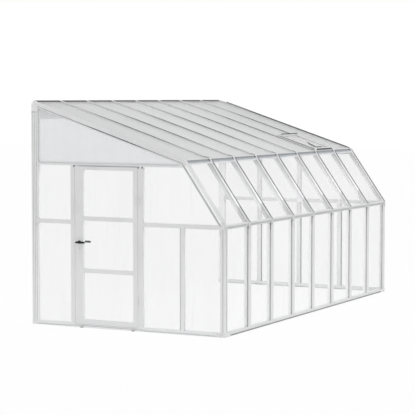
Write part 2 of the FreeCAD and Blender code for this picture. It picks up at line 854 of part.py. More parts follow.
def make_gable_rails():
    """Head rails, waist rails, studs and door jambs of the two gables."""
    def head_strip(low, high):
        """The head rail's outline, its front end cut along the sloped bars."""
        return [
            slope.at_height(low, bar_depth),
            slope.at_height(high, bar_depth),
            (wall_post_front, high),
            (wall_post_front, low),
        ]

    head = Piece("head_rails")
    for end in (-1, 1):
        layer(head, end, 0, cap, head_strip(head_bottom, head_top))
        layer(head, end, cap, cap + pane_slot, head_strip(head_bottom + bite, head_top - bite))
        layer(head, end, cap + pane_slot, cap + panel_slot, head_strip(head_bottom, head_top - bite))
        layer(head, end, cap + panel_slot, bar_depth, head_strip(head_bottom, head_top))

    def waist(piece, end, rear, from_corner):
        """A waist rail that ends at a post behind, and at the corner post or at another post in front."""
        def strip(low, high):
            if from_corner is None:
                return [
                    (corner_inner, low),
                    lower_inner,
                    slope.at_height(high, bar_depth),
                    (rear, high),
                    (rear, low),
                ]
            return rectangle(from_corner, rear, low, high)
        layer(piece, end, 0, cap, strip(waist_bottom, waist_top))
        layer(piece, end, cap, cap + pane_slot, strip(waist_bottom + bite, waist_top - bite))
        layer(piece, end, cap + pane_slot, bar_depth, strip(waist_bottom, waist_top))

    stud_half = named("stud_width") / 2

    def stud(piece, end, middle, high):
        """A stud with a glazing slot on each side."""
        wide = rectangle(middle - stud_half, middle + stud_half, base_height, high)
        thin = rectangle(middle - stud_half + bite, middle + stud_half - bite, base_height, high)
        layer(piece, end, 0, cap, wide)
        layer(piece, end, cap, cap + pane_slot, thin)
        layer(piece, end, cap + pane_slot, bar_depth, wide)

    studs = Piece("gable_studs")
    stud(studs, -1, front + named("stud_from_front"), waist_bottom)
    for index, high in enumerate((waist_bottom, head_bottom, head_bottom)):
        stud(studs, 1, far_stud(index), high)

    waists = Piece("gable_waist_rails")
    waist(waists, -1, hinge_jamb_out, None)
    waist(waists, -1, wall_post_front, lock_jamb_out)
    waist(waists, 1, far_stud(1) - stud_half, None)
    waist(waists, 1, far_stud(2) - stud_half, far_stud(1) + stud_half)
    waist(waists, 1, wall_post_front, far_stud(2) + stud_half)

    make_jambs()


def far_stud(index):
    """The middle of a stud of the far gable, counted from the front."""
    return front + named("far_stud_from_front") + named("far_stud_pitch") * index


# The doorway, from its hinge-side jamb to its lock-side jamb.
hinge_jamb_out = front + named("hinge_jamb_from_front")
hinge_jamb_face = hinge_jamb_out + named("hinge_jamb_width")
lock_jamb_face = hinge_jamb_face + named("doorway_width")
lock_jamb_out = lock_jamb_face + named("lock_jamb_width")
stop_from = named("door_thickness") + named("seal_gap")

# The door leaf, its lock and its hinge line.
door_gap = named("door_gap")
leaf_hinge = hinge_jamb_face + door_gap
leaf_lock = lock_jamb_face - door_gap
leaf_bottom = named("threshold_height") + door_gap
leaf_top = head_bottom - door_gap
leaf_face = -half
leaf_back = named("door_thickness") - half
lever_y = leaf_lock - named("lever_backset")
lever_z = named("lever_level")
cylinder_z = lever_z - named("cylinder_drop")
case_from = (named("door_thickness") - named("lock_case_thickness")) / 2 - half
case_to = case_from + named("lock_case_thickness")
case_low = lever_z - named("lock_case_below")
case_high = lever_z + named("lock_case_above")
bolt_from = (named("door_thickness") - named("bolt_thickness")) / 2 - half
bolt_to = bolt_from + named("bolt_thickness")
latch_low = lever_z - named("latch_height") / 2
latch_high = lever_z + named("latch_height") / 2
dead_low = lever_z - named("dead_bolt_drop") - named("dead_bolt_height") / 2
dead_high = dead_low + named("dead_bolt_height")
bolt_clear = named("bolt_clearance")
hinge_x = -half - named("knuckle_offset")
hinge_y = hinge_jamb_face + door_gap / 2


def make_jambs():
    """Door jambs with glazing slots, stops, and the keep's mortises in the lock side."""
    for label, out, face, inward in (
            ("jamb_hinge_side", hinge_jamb_out, hinge_jamb_face, 1),
            ("jamb_lock_side", lock_jamb_out, lock_jamb_face, -1)):
        jamb = Piece(label)

        def strip(outer, inner):
            return rectangle(outer, inner, base_height, head_bottom)
        lip = face + named("stop_width") * inward
        layer(jamb, -1, 0, cap, strip(out, face))
        layer(jamb, -1, cap, cap + pane_slot, strip(out + bite * inward, face))
        layer(jamb, -1, cap + pane_slot, stop_from, strip(out, face))
        layer(jamb, -1, stop_from, bar_depth, strip(out, lip))
        if inward < 0:
            recess = strike_outline()
            jamb.cut(jamb.outline("XZ_Plane", -lock_jamb_face - strike_thick, recess), strike_thick)
            keep_depth = named("latch_throw") + 2 * bite
            for low, high in ((latch_low, latch_high), (dead_low, dead_high)):
                mortise = keep_outline(low, high)
                jamb.cut(jamb.outline("XZ_Plane", -lock_jamb_face - keep_depth, mortise), keep_depth)

    seal = Piece("door_seal")
    for face, inward in ((hinge_jamb_face, 1), (lock_jamb_face, -1)):
        lip = face + named("stop_width") * inward
        seal_from = leaf_back + clear
        seal.slab(rectangle(face, lip, base_height, head_bottom), seal_from, stop_from - half)

    strike = Piece("strike_plate")
    strike.beam(strike_outline(), lock_jamb_face, lock_jamb_face + strike_thick)
    for low, high in ((latch_low, latch_high), (dead_low, dead_high)):
        window = strike.outline("XZ_Plane", -lock_jamb_face - strike_thick, keep_outline(low, high))
        strike.cut(window, strike_thick)


strike_thick = named("strike_thickness")


def keep_outline(low, high):
    """The keep's window round a bolt, with room on every side."""
    room = 3 * bolt_clear
    return [
        (bolt_from - room, low - room),
        (bolt_to + room, low - room),
        (bolt_to + room, high + room),
        (bolt_from - room, high + room),
    ]


def strike_outline():
    """The strike plate's outline on the jamb's face."""
    low = dead_low - named("strike_margin")
    high = latch_high + named("strike_margin")
    return [(case_from, low), (case_to, low), (case_to, high), (case_from, high)]


def make_glazing():
    """Clear panes in the walls, twin-wall panels in the roof and the gables' tops."""
    bay_from = first_bow + web / 2 + gap
    bay_to = first_bow + pitch - web / 2 - gap
    pane_near = cap + clear
    pane_far = pane_near + named("pane_thickness")
    panel_far = pane_near + named("panel_thickness")
    pane_low = base_height - bite + gap

    front_panes = Piece("front_panes")
    front_panes.slab(Front.strip(pane_low, post_top + bite - gap, pane_near, pane_far), bay_from, bay_to)
    front_panes.row(BAYS, pitch)

    slope_panes = Piece("slope_panes")
    sloped = slope.strip(slope_from - bite + gap, slope_to + bite - gap, pane_near, pane_far)
    slope_panes.slab(sloped, bay_from, bay_to)
    slope_panes.row(BAYS, pitch)

    panels = Piece("roof_panels")
    panel_end = wall - named("panel_wall_gap")
    long_panel = roof.strip_to_reach(roof_from - bite + gap, panel_end, pane_near, panel_far)
    panels.slab(long_panel, bay_from, bay_to)
    panels.row(VENT_BAY, pitch)
    for bay in range(VENT_BAY, BAYS):
        outline = long_panel
        if bay == VENT_BAY:
            outline = roof.strip_to_reach(vent_curb_end + gap, panel_end, pane_near, panel_far)
        panels.slab(outline, bay_from + pitch * bay, bay_to + pitch * bay)

    def under_waist(y_from, y_to):
        return rectangle(y_from - bite + gap, y_to + bite - gap, pane_low, waist_bottom + bite - gap)

    def beside_corner(y_to):
        """The pane next to the corner post, stepped round the end of the front waist rail."""
        high = waist_bottom + bite - gap
        step = post_top - gap
        return [
            (corner_inner - bite + gap, pane_low),
            (y_to + bite - gap, pane_low),
            (y_to + bite - gap, high),
            (corner_inner + gap, high),
            (corner_inner + gap, step),
            (corner_inner - bite + gap, step),
        ]

    def over_waist(y_from, y_to):
        low = waist_top - bite + gap
        return rectangle(y_from - bite + gap, y_to + bite - gap, low, head_bottom + bite - gap)

    def beside_slope(rear):
        """The pane above the waist rail that follows the end slope bar."""
        low = waist_top - bite + gap
        high = head_bottom + bite - gap
        depth = bar_depth - bite + gap
        return [
            slope.at_height(low, depth),
            slope.at_height(high, depth),
            (rear + bite - gap, high),
            (rear + bite - gap, low),
        ]

    stud_half = named("stud_width") / 2
    stud_middle = front + named("stud_from_front")
    door_panes = Piece("panes_door_end")
    for outline in (
            beside_corner(stud_middle - stud_half),
            under_waist(stud_middle + stud_half, hinge_jamb_out),
            under_waist(lock_jamb_out, wall_post_front),
            over_waist(lock_jamb_out, wall_post_front),
            beside_slope(hinge_jamb_out)):
        layer(door_panes, -1, pane_near, pane_far, outline)

    far_panes = Piece("panes_far_end")
    for outline in (
            beside_corner(far_stud(0) - stud_half),
            under_waist(far_stud(0) + stud_half, far_stud(1) - stud_half),
            under_waist(far_stud(1) + stud_half, far_stud(2) - stud_half),
            under_waist(far_stud(2) + stud_half, wall_post_front),
            over_waist(far_stud(1) + stud_half, far_stud(2) - stud_half),
            over_waist(far_stud(2) + stud_half, wall_post_front),
            beside_slope(far_stud(1) - stud_half)):
        layer(far_panes, 1, pane_near, pane_far, outline)

    gable_panels = Piece("gable_panels")
    depth = bar_depth - bite + gap
    corner = roof.at(roof_from + 2 * gap, depth)
    panel_low = head_top - bite + gap
    step = cap_bottom - gap
    outline = [
        (corner[0], panel_low),
        corner,
        roof.at_reach(wall_post_front - gap, depth),
        (wall_post_front - gap, step),
        (wall_post_front + bite - gap, step),
        (wall_post_front + bite - gap, panel_low),
    ]
    for end in (-1, 1):
        layer(gable_panels, end, pane_near, panel_far, outline)


def make_door():
    """The door leaf: stiles and rails slotted for three panes."""
    slot_from = named("door_cap")
    slot_to = slot_from + pane_slot
    thick = named("door_thickness")
    lock_inner = leaf_lock - named("lock_stile_width")
    hinge_inner = leaf_hinge + named("hinge_stile_width")

    for label, outer, inner, inward in (
            ("door_hinge_stile", leaf_hinge, hinge_inner, 1),
            ("door_lock_stile", leaf_lock, lock_inner, -1)):
        stile = Piece(label)
        whole = rectangle(outer, inner, leaf_bottom, leaf_top)
        layer(stile, -1, 0, slot_from, whole)
        layer(stile, -1, slot_from, slot_to, rectangle(outer, inner - bite * inward, leaf_bottom, leaf_top))
        layer(stile, -1, slot_to, thick, whole)
        if inward < 0:
            bore_stile(stile)

    levels = [
        (leaf_bottom, leaf_bottom + named("door_bottom_rail"), False, True),
        (named("lower_mid_level"), named("lower_mid_level") + named("door_mid_rail"), True, True),
        (named("upper_mid_level"), named("upper_mid_level") + named("door_mid_rail"), True, True),
        (leaf_top - named("door_top_rail"), leaf_top, True, False),
    ]
    rails = Piece("door_rails")
    for low, high, slot_under, slot_over in levels:
        slot_low = low + bite if slot_under else low
        slot_high = high - bite if slot_over else high
        layer(rails, -1, 0, slot_from, rectangle(hinge_inner, lock_inner, low, high))
        layer(rails, -1, slot_from, slot_to, rectangle(hinge_inner, lock_inner, slot_low, slot_high))
        layer(rails, -1, slot_to, thick, rectangle(hinge_inner, lock_inner, low, high))

    panes = Piece("door_panes")
    near = slot_from + clear
    for below, above in zip(levels, levels[1:]):
        outline = rectangle(
            hinge_inner - bite + gap, lock_inner + bite - gap, below[1] - bite + gap, above[0] + bite - gap)
        layer(panes, -1, near, near + named("pane_thickness"), outline)


def bore_stile(stile):
    """The lock's mortise in the leaf's edge, and the holes for the spindle and the cylinder."""
    room = bolt_clear
    mortise = [
        (case_from - room, case_low - room),
        (case_to + room, case_low - room),
        (case_to + room, case_high + room),
        (case_from - room, case_high + room),
    ]
    depth = named("lock_case_depth") + room
    stile.cut(stile.outline("XZ_Plane", -leaf_lock, mortise), depth)
    neck = named("lever_neck_radius") + clear
    stile.cut(stile.circle("YZ_Plane", leaf_face, lever_y, lever_z, neck), named("door_thickness"))
    barrel = named("cylinder_radius") + clear
    stile.cut(stile.circle("YZ_Plane", leaf_face, lever_y, cylinder_z, barrel), named("door_thickness"))


def make_lock():
    """Lock case, latch bolt, dead bolt, cylinder and key plug."""
    case = Piece("lock_case")
    outline = [(case_from, case_low), (case_to, case_low), (case_to, case_high), (case_from, case_high)]
    case.beam(outline, leaf_lock - named("lock_case_depth"), leaf_lock)
    thickness = named("lock_case_thickness")
    spindle_hole = named("spindle_hole_radius")
    case.cut(case.circle("YZ_Plane", case_from, lever_y, lever_z, spindle_hole), thickness)
    barrel = named("cylinder_radius") + clear
    case.cut(case.circle("YZ_Plane", case_from, lever_y, cylinder_z, barrel), thickness)

    def channel(low, high, depth):
        """A bolt's way through the case, open at the leaf's edge."""
        sides = [
            (bolt_from - bolt_clear, low - bolt_clear),
            (bolt_to + bolt_clear, low - bolt_clear),
            (bolt_to + bolt_clear, high + bolt_clear),
            (bolt_from - bolt_clear, high + bolt_clear),
        ]
        case.cut(case.outline("XZ_Plane", -leaf_lock, sides), depth)
    channel(latch_low, latch_high, named("latch_length") + named("latch_throw") + bolt_clear)
    channel(dead_low, dead_high, named("dead_bolt_length") + bolt_clear)

    # The latch stands out of the leaf's edge, its bevel to the room side.
    latch = Piece("latch_bolt")
    tip = leaf_lock + named("latch_throw") - bolt_clear
    latch.column([
        (bolt_from, leaf_lock - named("latch_length")),
        (bolt_to, leaf_lock - named("latch_length")),
        (bolt_to, leaf_lock),
        (bolt_from + named("bolt_thickness") / 4, tip),
        (bolt_from, tip),
    ], latch_low, latch_high)

    # The dead bolt is drawn back at rest, its end flush with the leaf's edge.
    bolt = Piece("dead_bolt")
    bolt.beam([
        (bolt_from, dead_low),
        (bolt_to, dead_low),
        (bolt_to, dead_high),
        (bolt_from, dead_high),
    ], leaf_lock - named("dead_bolt_length"), leaf_lock)

    proud = named("cylinder_proud")
    length = named("door_thickness") + 2 * proud
    barrel = Piece("lock_cylinder")
    barrel_from = leaf_face - proud
    barrel_end = barrel.circle("YZ_Plane", barrel_from, lever_y, cylinder_z, named("cylinder_radius"))
    barrel.grow(barrel_end, length)
    bore = named("plug_radius") + named("pin_clearance")
    barrel.cut(barrel.circle("YZ_Plane", barrel_from, lever_y, cylinder_z, bore), length)

    plug = Piece("key_plug")
    plug.grow(plug.circle("YZ_Plane", barrel_from, lever_y, cylinder_z, named("plug_radius")), length)
    slot_half = named("key_slot_width") / 2
    slot_reach = named("plug_radius") * 0.65
    key_slot = rectangle(
        lever_y - slot_half, lever_y + slot_half, cylinder_z - slot_reach, cylinder_z + slot_reach)
    plug.cut(plug.outline("YZ_Plane", barrel_from, key_slot), named("key_slot_depth"))


def make_levers():
    """Inside and outside levers on one square spindle, and the roses they turn in."""
    reach = named("lever_reach")
    grip = named("lever_thickness")
    neck = named("lever_neck_radius")
    rose = named("rose_thickness")
    roses = Piece("lever_roses")
    for x_from in (leaf_face - rose, leaf_back):
        roses.grow(roses.circle("YZ_Plane", x_from, lever_y, lever_z, named("rose_radius")), rose)
    for x_from in (leaf_face - rose, leaf_back):
        roses.cut(roses.circle("YZ_Plane", x_from, lever_y, lever_z, neck + clear), rose)

    square = named("spindle_size") / 2
    spindle_end = reach * 0.6
    spindle = Piece("lever_spindle")
    spindle.slab(
        rectangle(lever_y - square, lever_y + square, lever_z - square, lever_z + square),
        leaf_face - spindle_end, leaf_back + spindle_end)

    # Each neck starts just inside its rose and carries the grip at its end, toward the hinge side.
    grip_half = named("lever_height") / 2
    grip_outline = rectangle(
        lever_y - named("lever_length"), lever_y + named("lever_tail"),
        lever_z - grip_half, lever_z + grip_half)
    socket = square + clear
    socket_outline = rectangle(lever_y - socket, lever_y + socket, lever_z - socket, lever_z + socket)
    socket_depth = spindle_end + clear
    for label, neck_from, grip_from, socket_from in (
            ("lever_outside", leaf_face - reach, leaf_face - reach - grip, leaf_face - socket_depth),
            ("lever_inside", leaf_back, leaf_back + reach, leaf_back)):
        lever = Piece(label)
        lever.slab(grip_outline, grip_from, grip_from + grip)
        lever.round_edges(
            grip_half * 0.95,
            lambda a, b: abs(a.y - b.y) < NEAR and abs(a.z - b.z) < NEAR)
        lever.round_edges(
            grip / 4,
            lambda a, b: abs(a.x - b.x) < NEAR)
        lever.grow(lever.circle("YZ_Plane", neck_from, lever_y, lever_z, neck), reach)
        lever.cut(lever.outline("YZ_Plane", socket_from, socket_outline), socket_depth)


def make_hinges():
    """Two butt hinges outside the door: a leaf on the jamb, one on the stile, a pin in their knuckles."""
    radius = named("knuckle_radius")
    plate = named("hinge_plate")
    height = named("hinge_height")
    start = radius + named("knuckle_gap")
    knuckle = height / 3
    slack = named("knuckle_gap")
    bore = named("pin_radius") + named("pin_clearance")
    frame_leaves = Piece("hinge_frame_leaves")
    door_leaves = Piece("hinge_door_leaves")
    pins = Piece("hinge_pins")
    for level in (named("hinge_upper_level"), named("hinge_lower_level")):
        low = level - height / 2
        for leaves, side, spans in (
                (frame_leaves, -1, ((low, low + knuckle), (low + 2 * knuckle, low + height))),
                (door_leaves, 1, ((low + knuckle + slack, low + 2 * knuckle - slack),))):
            plate_from = hinge_y + start * side
            plate_to = hinge_y + (start + named("hinge_plate_width")) * side
            leaves.slab(rectangle(plate_from, plate_to, low, low + height), -half - plate, -half)
            for span_low, span_high in spans:
                reach = rectangle(hinge_y, plate_from, span_low, span_high)
                leaves.slab(reach, -half - plate, -half - clear)
                tall = span_high - span_low
                leaves.grow(leaves.circle("XY_Plane", span_low, hinge_x, hinge_y, radius), tall)
                leaves.cut(leaves.circle("XY_Plane", span_low, hinge_x, hinge_y, bore), tall)
        pins.grow(pins.circle("XY_Plane", low, hinge_x, hinge_y, named("pin_radius")), height)
        pins.grow(pins.circle("XY_Plane", low + height, hinge_x, hinge_y, radius - slack), plate)


# The roof vent: its bay's edges along X, and its places along and above the roof.
vent_from_x = first_bow + pitch * VENT_BAY + bar_width / 2
vent_to_x = first_bow + pitch * (VENT_BAY + 1) - bar_width / 2
curb_low_to = roof_from + named("curb_width")
sash_low = named("vent_from_eave") - roof_from / 2
sash_high = sash_low + named("vent_length")
vent_axis_along = sash_high + named("vent_barrel_radius") + named("vent_hinge_gap")
vent_axis_above = clear + named("sash_height") / 2
vent_curb_from = sash_high - named("sash_bar_width") / 2
vent_curb_end = vent_axis_along + named("curb_width") / 2


def make_vent():
    """The vent's curb in the roof, its sash, panel and hinge rod, and the prop stay that holds it open."""
    depth = named("curb_depth")
    side = named("curb_width")
    curb_ends = Piece("vent_curb_ends")
    curb_ends.slab(roof.strip(roof_from, curb_low_to, 0, depth), vent_from_x, vent_to_x)
    curb_ends.slab(roof.strip(vent_curb_from, vent_curb_end, 0, depth), vent_from_x, vent_to_x)
    curb_sides = Piece("vent_curb_sides")
    beside = roof.strip(curb_low_to, vent_curb_from, 0, depth)
    curb_sides.slab(beside, vent_from_x, vent_from_x + side)
    curb_sides.slab(beside, vent_to_x - side, vent_to_x)

    # End blocks on the curb hold the hinge rod, and the sash's barrel turns on it between them.
    rod = named("vent_rod_radius")
    block = named("vent_block_length")
    block_half = named("vent_barrel_radius")
    axis = roof.at(vent_axis_along, -vent_axis_above)
    blocks = Piece("vent_hinge_blocks")
    block_outline = roof.strip(
        vent_axis_along - block_half, vent_axis_along + block_half, -vent_axis_above - block_half, 0)
    for x_from in (vent_from_x, vent_to_x - block):
        blocks.slab(block_outline, x_from, x_from + block)
    for x_from in (vent_from_x, vent_to_x - block):
        blocks.cut(blocks.circle("YZ_Plane", x_from, *axis, rod), block)
    rod_piece = Piece("vent_hinge_rod")
    rod_piece.grow(rod_piece.circle("YZ_Plane", vent_from_x, *axis, rod), vent_to_x - vent_from_x)

    # The sash: two side bars between a bottom bar and a top bar with the hinge barrel,
    # all slotted for the panel.
    sash_from = vent_from_x + named("vent_side_gap")
    sash_to = vent_to_x - named("vent_side_gap")
    low = -clear
    high = -clear - named("sash_height")
    slot_low = -clear - (named("sash_height") - panel_slot) / 2
    slot_high = slot_low - panel_slot
    bar = named("sash_bar_width")
    bottom = Piece("vent_sash_bottom")
    bottom.slab(roof.strip(sash_low, sash_low + bar, high, slot_high), sash_from, sash_to)
    bottom.slab(roof.strip(sash_low, sash_low + bar - bite, slot_high, slot_low), sash_from, sash_to)
    bottom.slab(roof.strip(sash_low, sash_low + bar, slot_low, low), sash_from, sash_to)

    sides = Piece("vent_sash_sides")
    along = (sash_low + bar, sash_high - bar)
    for near, thin in ((sash_from, sash_from), (sash_to - bar, sash_to - bar + bite)):
        sides.slab(roof.strip(*along, high, slot_high), near, near + bar)
        sides.slab(roof.strip(*along, slot_high, slot_low), thin, thin + bar - bite)
        sides.slab(roof.strip(*along, slot_low, low), near, near + bar)

    top = Piece("vent_sash_top")
    barrel_from = vent_from_x + block + gap
    barrel_to = vent_to_x - block - gap
    web_half = named("sash_height") / 4
    web_outline = roof.strip(
        sash_high, vent_axis_along, -vent_axis_above - web_half, -vent_axis_above + web_half)
    top.slab(roof.strip(sash_high - bar, sash_high, high, slot_high), sash_from, sash_to)
    top.slab(roof.strip(sash_high - bar + bite, sash_high, slot_high, slot_low), sash_from, sash_to)
    top.slab(roof.strip(sash_high - bar, sash_high, slot_low, low), sash_from, sash_to)
    top.slab(web_outline, barrel_from, barrel_to)
    barrel_end = top.circle("YZ_Plane", barrel_from, *axis, named("vent_barrel_radius"))
    top.grow(barrel_end, barrel_to - barrel_from)
    bore = rod + named("pin_clearance")
    top.cut(top.circle("YZ_Plane", barrel_from, *axis, bore), barrel_to - barrel_from)

    panel = Piece("vent_panel")
    panel_outline = roof.strip(
        sash_low + bar - bite + gap, sash_high - bar + bite - gap, slot_high + clear, slot_low - clear)
    panel.slab(panel_outline, sash_from + bar - bite + gap, sash_to - bar + bite - gap)
    make_stay(slot_low)


def make_stay(slot_low):
    """A cranked prop whose rod leg turns in two arms on the bottom bar, and the peg that holds its end."""
    rod = named("stay_rod_radius")
    rod_from = (vent_from_x + vent_to_x) / 2
    rod_to = rod_from + named("stay_rod_length")
    rail = sash_low + named("sash_bar_width")
    along = rail + named("stay_from_rail")
    above = -slot_low / 2
    axis = roof.at(along, -above)
    clip = named("stay_clip_width")
    end = along + rod + named("stay_clip_wall")
    clips = Piece("vent_stay_clips")
    clip_places = (rod_from + 3 * clip, rod_to - 2 * clip)
    for x_from in clip_places:
        clips.slab(roof.strip(rail, end, slot_low, -clear), x_from, x_from + clip)
    for x_from in clip_places:
        clips.cut(clips.circle("YZ_Plane", x_from, *axis, rod + named("pin_clearance")), clip)

    stay = Piece("vent_stay")
    width = named("stay_arm_width")
    tip_from = rod_from + named("stay_arm_offset")
    tip = along + named("stay_arm_reach")
    thick = named("stay_arm_thickness")
    stay.grow(stay.circle("YZ_Plane", rod_from, *axis, rod), rod_to - rod_from)
    arm = [(rod_from, along), (rod_from + width, along), (tip_from + width, tip), (tip_from, tip)]
    stay.plate(arm, roof, above - thick / 2, above + thick / 2)
    hole = roof.at(along + named("stay_hole_reach"), -above)
    peg = named("peg_radius")
    stay.cut(stay.circle("YZ_Plane", tip_from - width, *hole, peg + clear), 3 * width)

    # The peg stands beside the end of the arm, on a bracket inside the curb's bottom bar.
    bracket = Piece("vent_peg")
    thin = named("peg_plate_thickness")
    cheek = tip_from + width + 2 * named("peg_gap")
    deep = named("peg_plate_depth")
    reach = named("peg_reach")
    top = 2 * named("peg_gap")
    back = roof.strip(curb_low_to, curb_low_to + thin, top, deep)
    bracket.slab(back, cheek, cheek + named("peg_plate_width"))
    bracket.slab(roof.strip(curb_low_to, curb_low_to + reach, top, deep), cheek, cheek + thin)
    peg_at = roof.at(curb_low_to + reach - 5 * peg, (top + deep) / 2 + peg)
    bracket.grow(bracket.circle("YZ_Plane", cheek - named("peg_gap"), *peg_at, peg), thin)


def collect():
    """Check every object and every piece's solid, then write each piece to its own file."""
    doc.recompute()
    for item in doc.Objects:
        if "Invalid" in item.State or "Error" in item.State:
            raise ValueError(f"{item.Label} failed: {item.State}")
    os.makedirs("parts", exist_ok=True)
    for piece in PIECES:
        shape = piece.body.Shape
        if shape.isNull() or not shape.isValid() or not shape.Solids:
            raise ValueError(f"{piece.body.Label} has no valid solid")
        for pocket in getattr(piece, "cuts", []):
            if not pocket.Shape.Volume < pocket.BaseFeature.Shape.Volume - NEAR:
                raise ValueError(f"{piece.body.Label} has a cut that takes nothing away")
        shape.exportStep(os.path.join("parts", piece.body.Label + ".step"))


make_base()
make_bows()
make_long_rails()
make_wall_posts()
make_gable_rails()
make_glazing()
make_door()
make_lock()
make_levers()
make_hinges()
make_vent()
collect()
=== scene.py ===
"""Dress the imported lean-to sunroom: finishes, seals, fasteners, door furniture, vent trim and studio."""
import logging
import math
from dataclasses import dataclass
from enum import Enum
from typing import Any, Optional, Sequence, Union

import bmesh
import bpy
from mathutils import Matrix, Vector

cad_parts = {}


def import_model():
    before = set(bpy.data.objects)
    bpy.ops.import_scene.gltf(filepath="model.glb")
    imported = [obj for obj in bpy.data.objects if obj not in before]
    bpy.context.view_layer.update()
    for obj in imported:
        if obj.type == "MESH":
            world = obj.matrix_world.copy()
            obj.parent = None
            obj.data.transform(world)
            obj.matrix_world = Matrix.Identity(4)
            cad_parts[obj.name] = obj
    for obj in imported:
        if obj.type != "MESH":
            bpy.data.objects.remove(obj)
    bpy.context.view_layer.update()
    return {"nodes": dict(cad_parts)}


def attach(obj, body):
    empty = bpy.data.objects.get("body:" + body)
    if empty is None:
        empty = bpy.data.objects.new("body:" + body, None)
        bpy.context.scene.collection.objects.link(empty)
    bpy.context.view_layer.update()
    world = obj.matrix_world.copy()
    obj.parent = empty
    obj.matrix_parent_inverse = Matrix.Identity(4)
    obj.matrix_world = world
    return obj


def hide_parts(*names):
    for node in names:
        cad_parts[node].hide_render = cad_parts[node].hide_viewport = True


LOG = logging.getLogger("sunroom")
Number = Union[float, int, "Signal"]
Point = tuple[float, float]
Triple = tuple[float, float, float]
WHITE_LIGHT = (1.0, 1.0, 1.0, 1.0)


def link(name: str, data: bpy.types.ID) -> bpy.types.Object:
    """Put data in the scene as a new object.

    Args:
        name: The object's name.
        data: Its mesh, lamp or camera.

    Returns:
        The new object.
    """
    made = bpy.data.objects.new(name, data)
    bpy.context.scene.collection.objects.link(made)
    return made


def aim(item: bpy.types.Object, way: Vector, up: str = "Y") -> None:
    """Turn a camera or a lamp to look a way."""
    item.rotation_mode = "QUATERNION"
    item.rotation_quaternion = way.to_track_quat("-Z", up)


class Signal:
    """A shader socket that takes part in Python arithmetic."""

    def __init__(self, tree: "NodeTree", socket: bpy.types.NodeSocket) -> None:
        """Wrap an output socket.

        Args:
            tree: The builder of the socket's nodes.
            socket: The output that carries the value.
        """
        self.tree = tree
        self.socket = socket

    def _math(self, operation: str, first: Number, second: Number) -> "Signal":
        """Add a Math node for two values."""
        return self.tree.node("ShaderNodeMath", {"operation": operation}, {0: first, 1: second})

    def __add__(self, other: Number) -> "Signal":
        """Sum of two values."""
        return self._math("ADD", self, other)

    def __radd__(self, other: Number) -> "Signal":
        """Sum of two values, reflected."""
        return self._math("ADD", other, self)

    def __sub__(self, other: Number) -> "Signal":
        """Difference of two values."""
        return self._math("SUBTRACT", self, other)

    def __rsub__(self, other: Number) -> "Signal":
        """Difference of two values, reflected."""
        return self._math("SUBTRACT", other, self)

    def __mul__(self, other: Number) -> "Signal":
        """Product of two values."""
        return self._math("MULTIPLY", self, other)

    def __rmul__(self, other: Number) -> "Signal":
        """Product of two values, reflected."""
        return self._math("MULTIPLY", other, self)

    def fraction(self) -> "Signal":
        """The part of a value after its whole number."""
        return self._math("FRACT", self, 0.0)

    def distance(self, other: float) -> "Signal":
        """The distance of a value from a number."""
        return self.tree.node("ShaderNodeMath", {"operation": "ABSOLUTE"}, {0: self - other})

    def larger(self, other: "Signal") -> "Signal":
        """The larger of two values."""
        return self._math("MAXIMUM", self, other)

    def ease(self, low: float, high: float) -> "Signal":
        """A smooth step from 0 at low to 1 at high."""
        return self.tree.node(
            "ShaderNodeMapRange", {"interpolation_type": "SMOOTHSTEP"},
            {"Value": self, "From Min": low, "From Max": high})


class NodeTree:
    """Builds the nodes of a material or a world."""

    def __init__(self, owner: Union[bpy.types.Material, bpy.types.World]) -> None:
        """Clear the owner's nodes.

        Args:
            owner: The material or world to fill.
        """
        owner.use_nodes = True
        self.tree = owner.node_tree
        self.tree.nodes.clear()

    def node(self, kind: str, settings: dict[str, Any], inputs: dict[Any, Any], output: Any = 0) -> Signal:
        """Add a node.

        Args:
            kind: The node's type.
            settings: Properties that are set first.
            inputs: Values or signals by socket name or number.
            output: The socket to give back.

        Returns:
            The chosen output as a signal.
        """
        made = self.tree.nodes.new(kind)
        for name, value in settings.items():
            setattr(made, name, value)
        for key, value in inputs.items():
            self.feed(made.inputs[key], value)
        return Signal(self, made.outputs[output])

    def feed(self, socket: bpy.types.NodeSocket, value: Any) -> None:
        """Link a signal to a socket, or set the socket's own value.

        Args:
            socket: The input to feed.
            value: A signal, or a plain value.
        """
        if isinstance(value, Signal):
            self.tree.links.new(value.socket, socket)
        else:
            socket.default_value = value

    def seen(self) -> Signal:
        """Tell what the eye sees, straight or in gloss or glass, from light on surfaces.

        Returns:
            One for what is seen, and nought for light.
        """
        straight, gloss, glass = (
            self.node("ShaderNodeLightPath", {}, {}, f"Is {kind} Ray")
            for kind in ("Camera", "Glossy", "Transmission"))
        return straight.larger(gloss).larger(glass)

    def mix(self, amount: Number, first: Signal, second: Signal) -> Signal:
        """Mix two shaders by a value."""
        return self.node("ShaderNodeMixShader", {}, {0: amount, 1: first, 2: second})


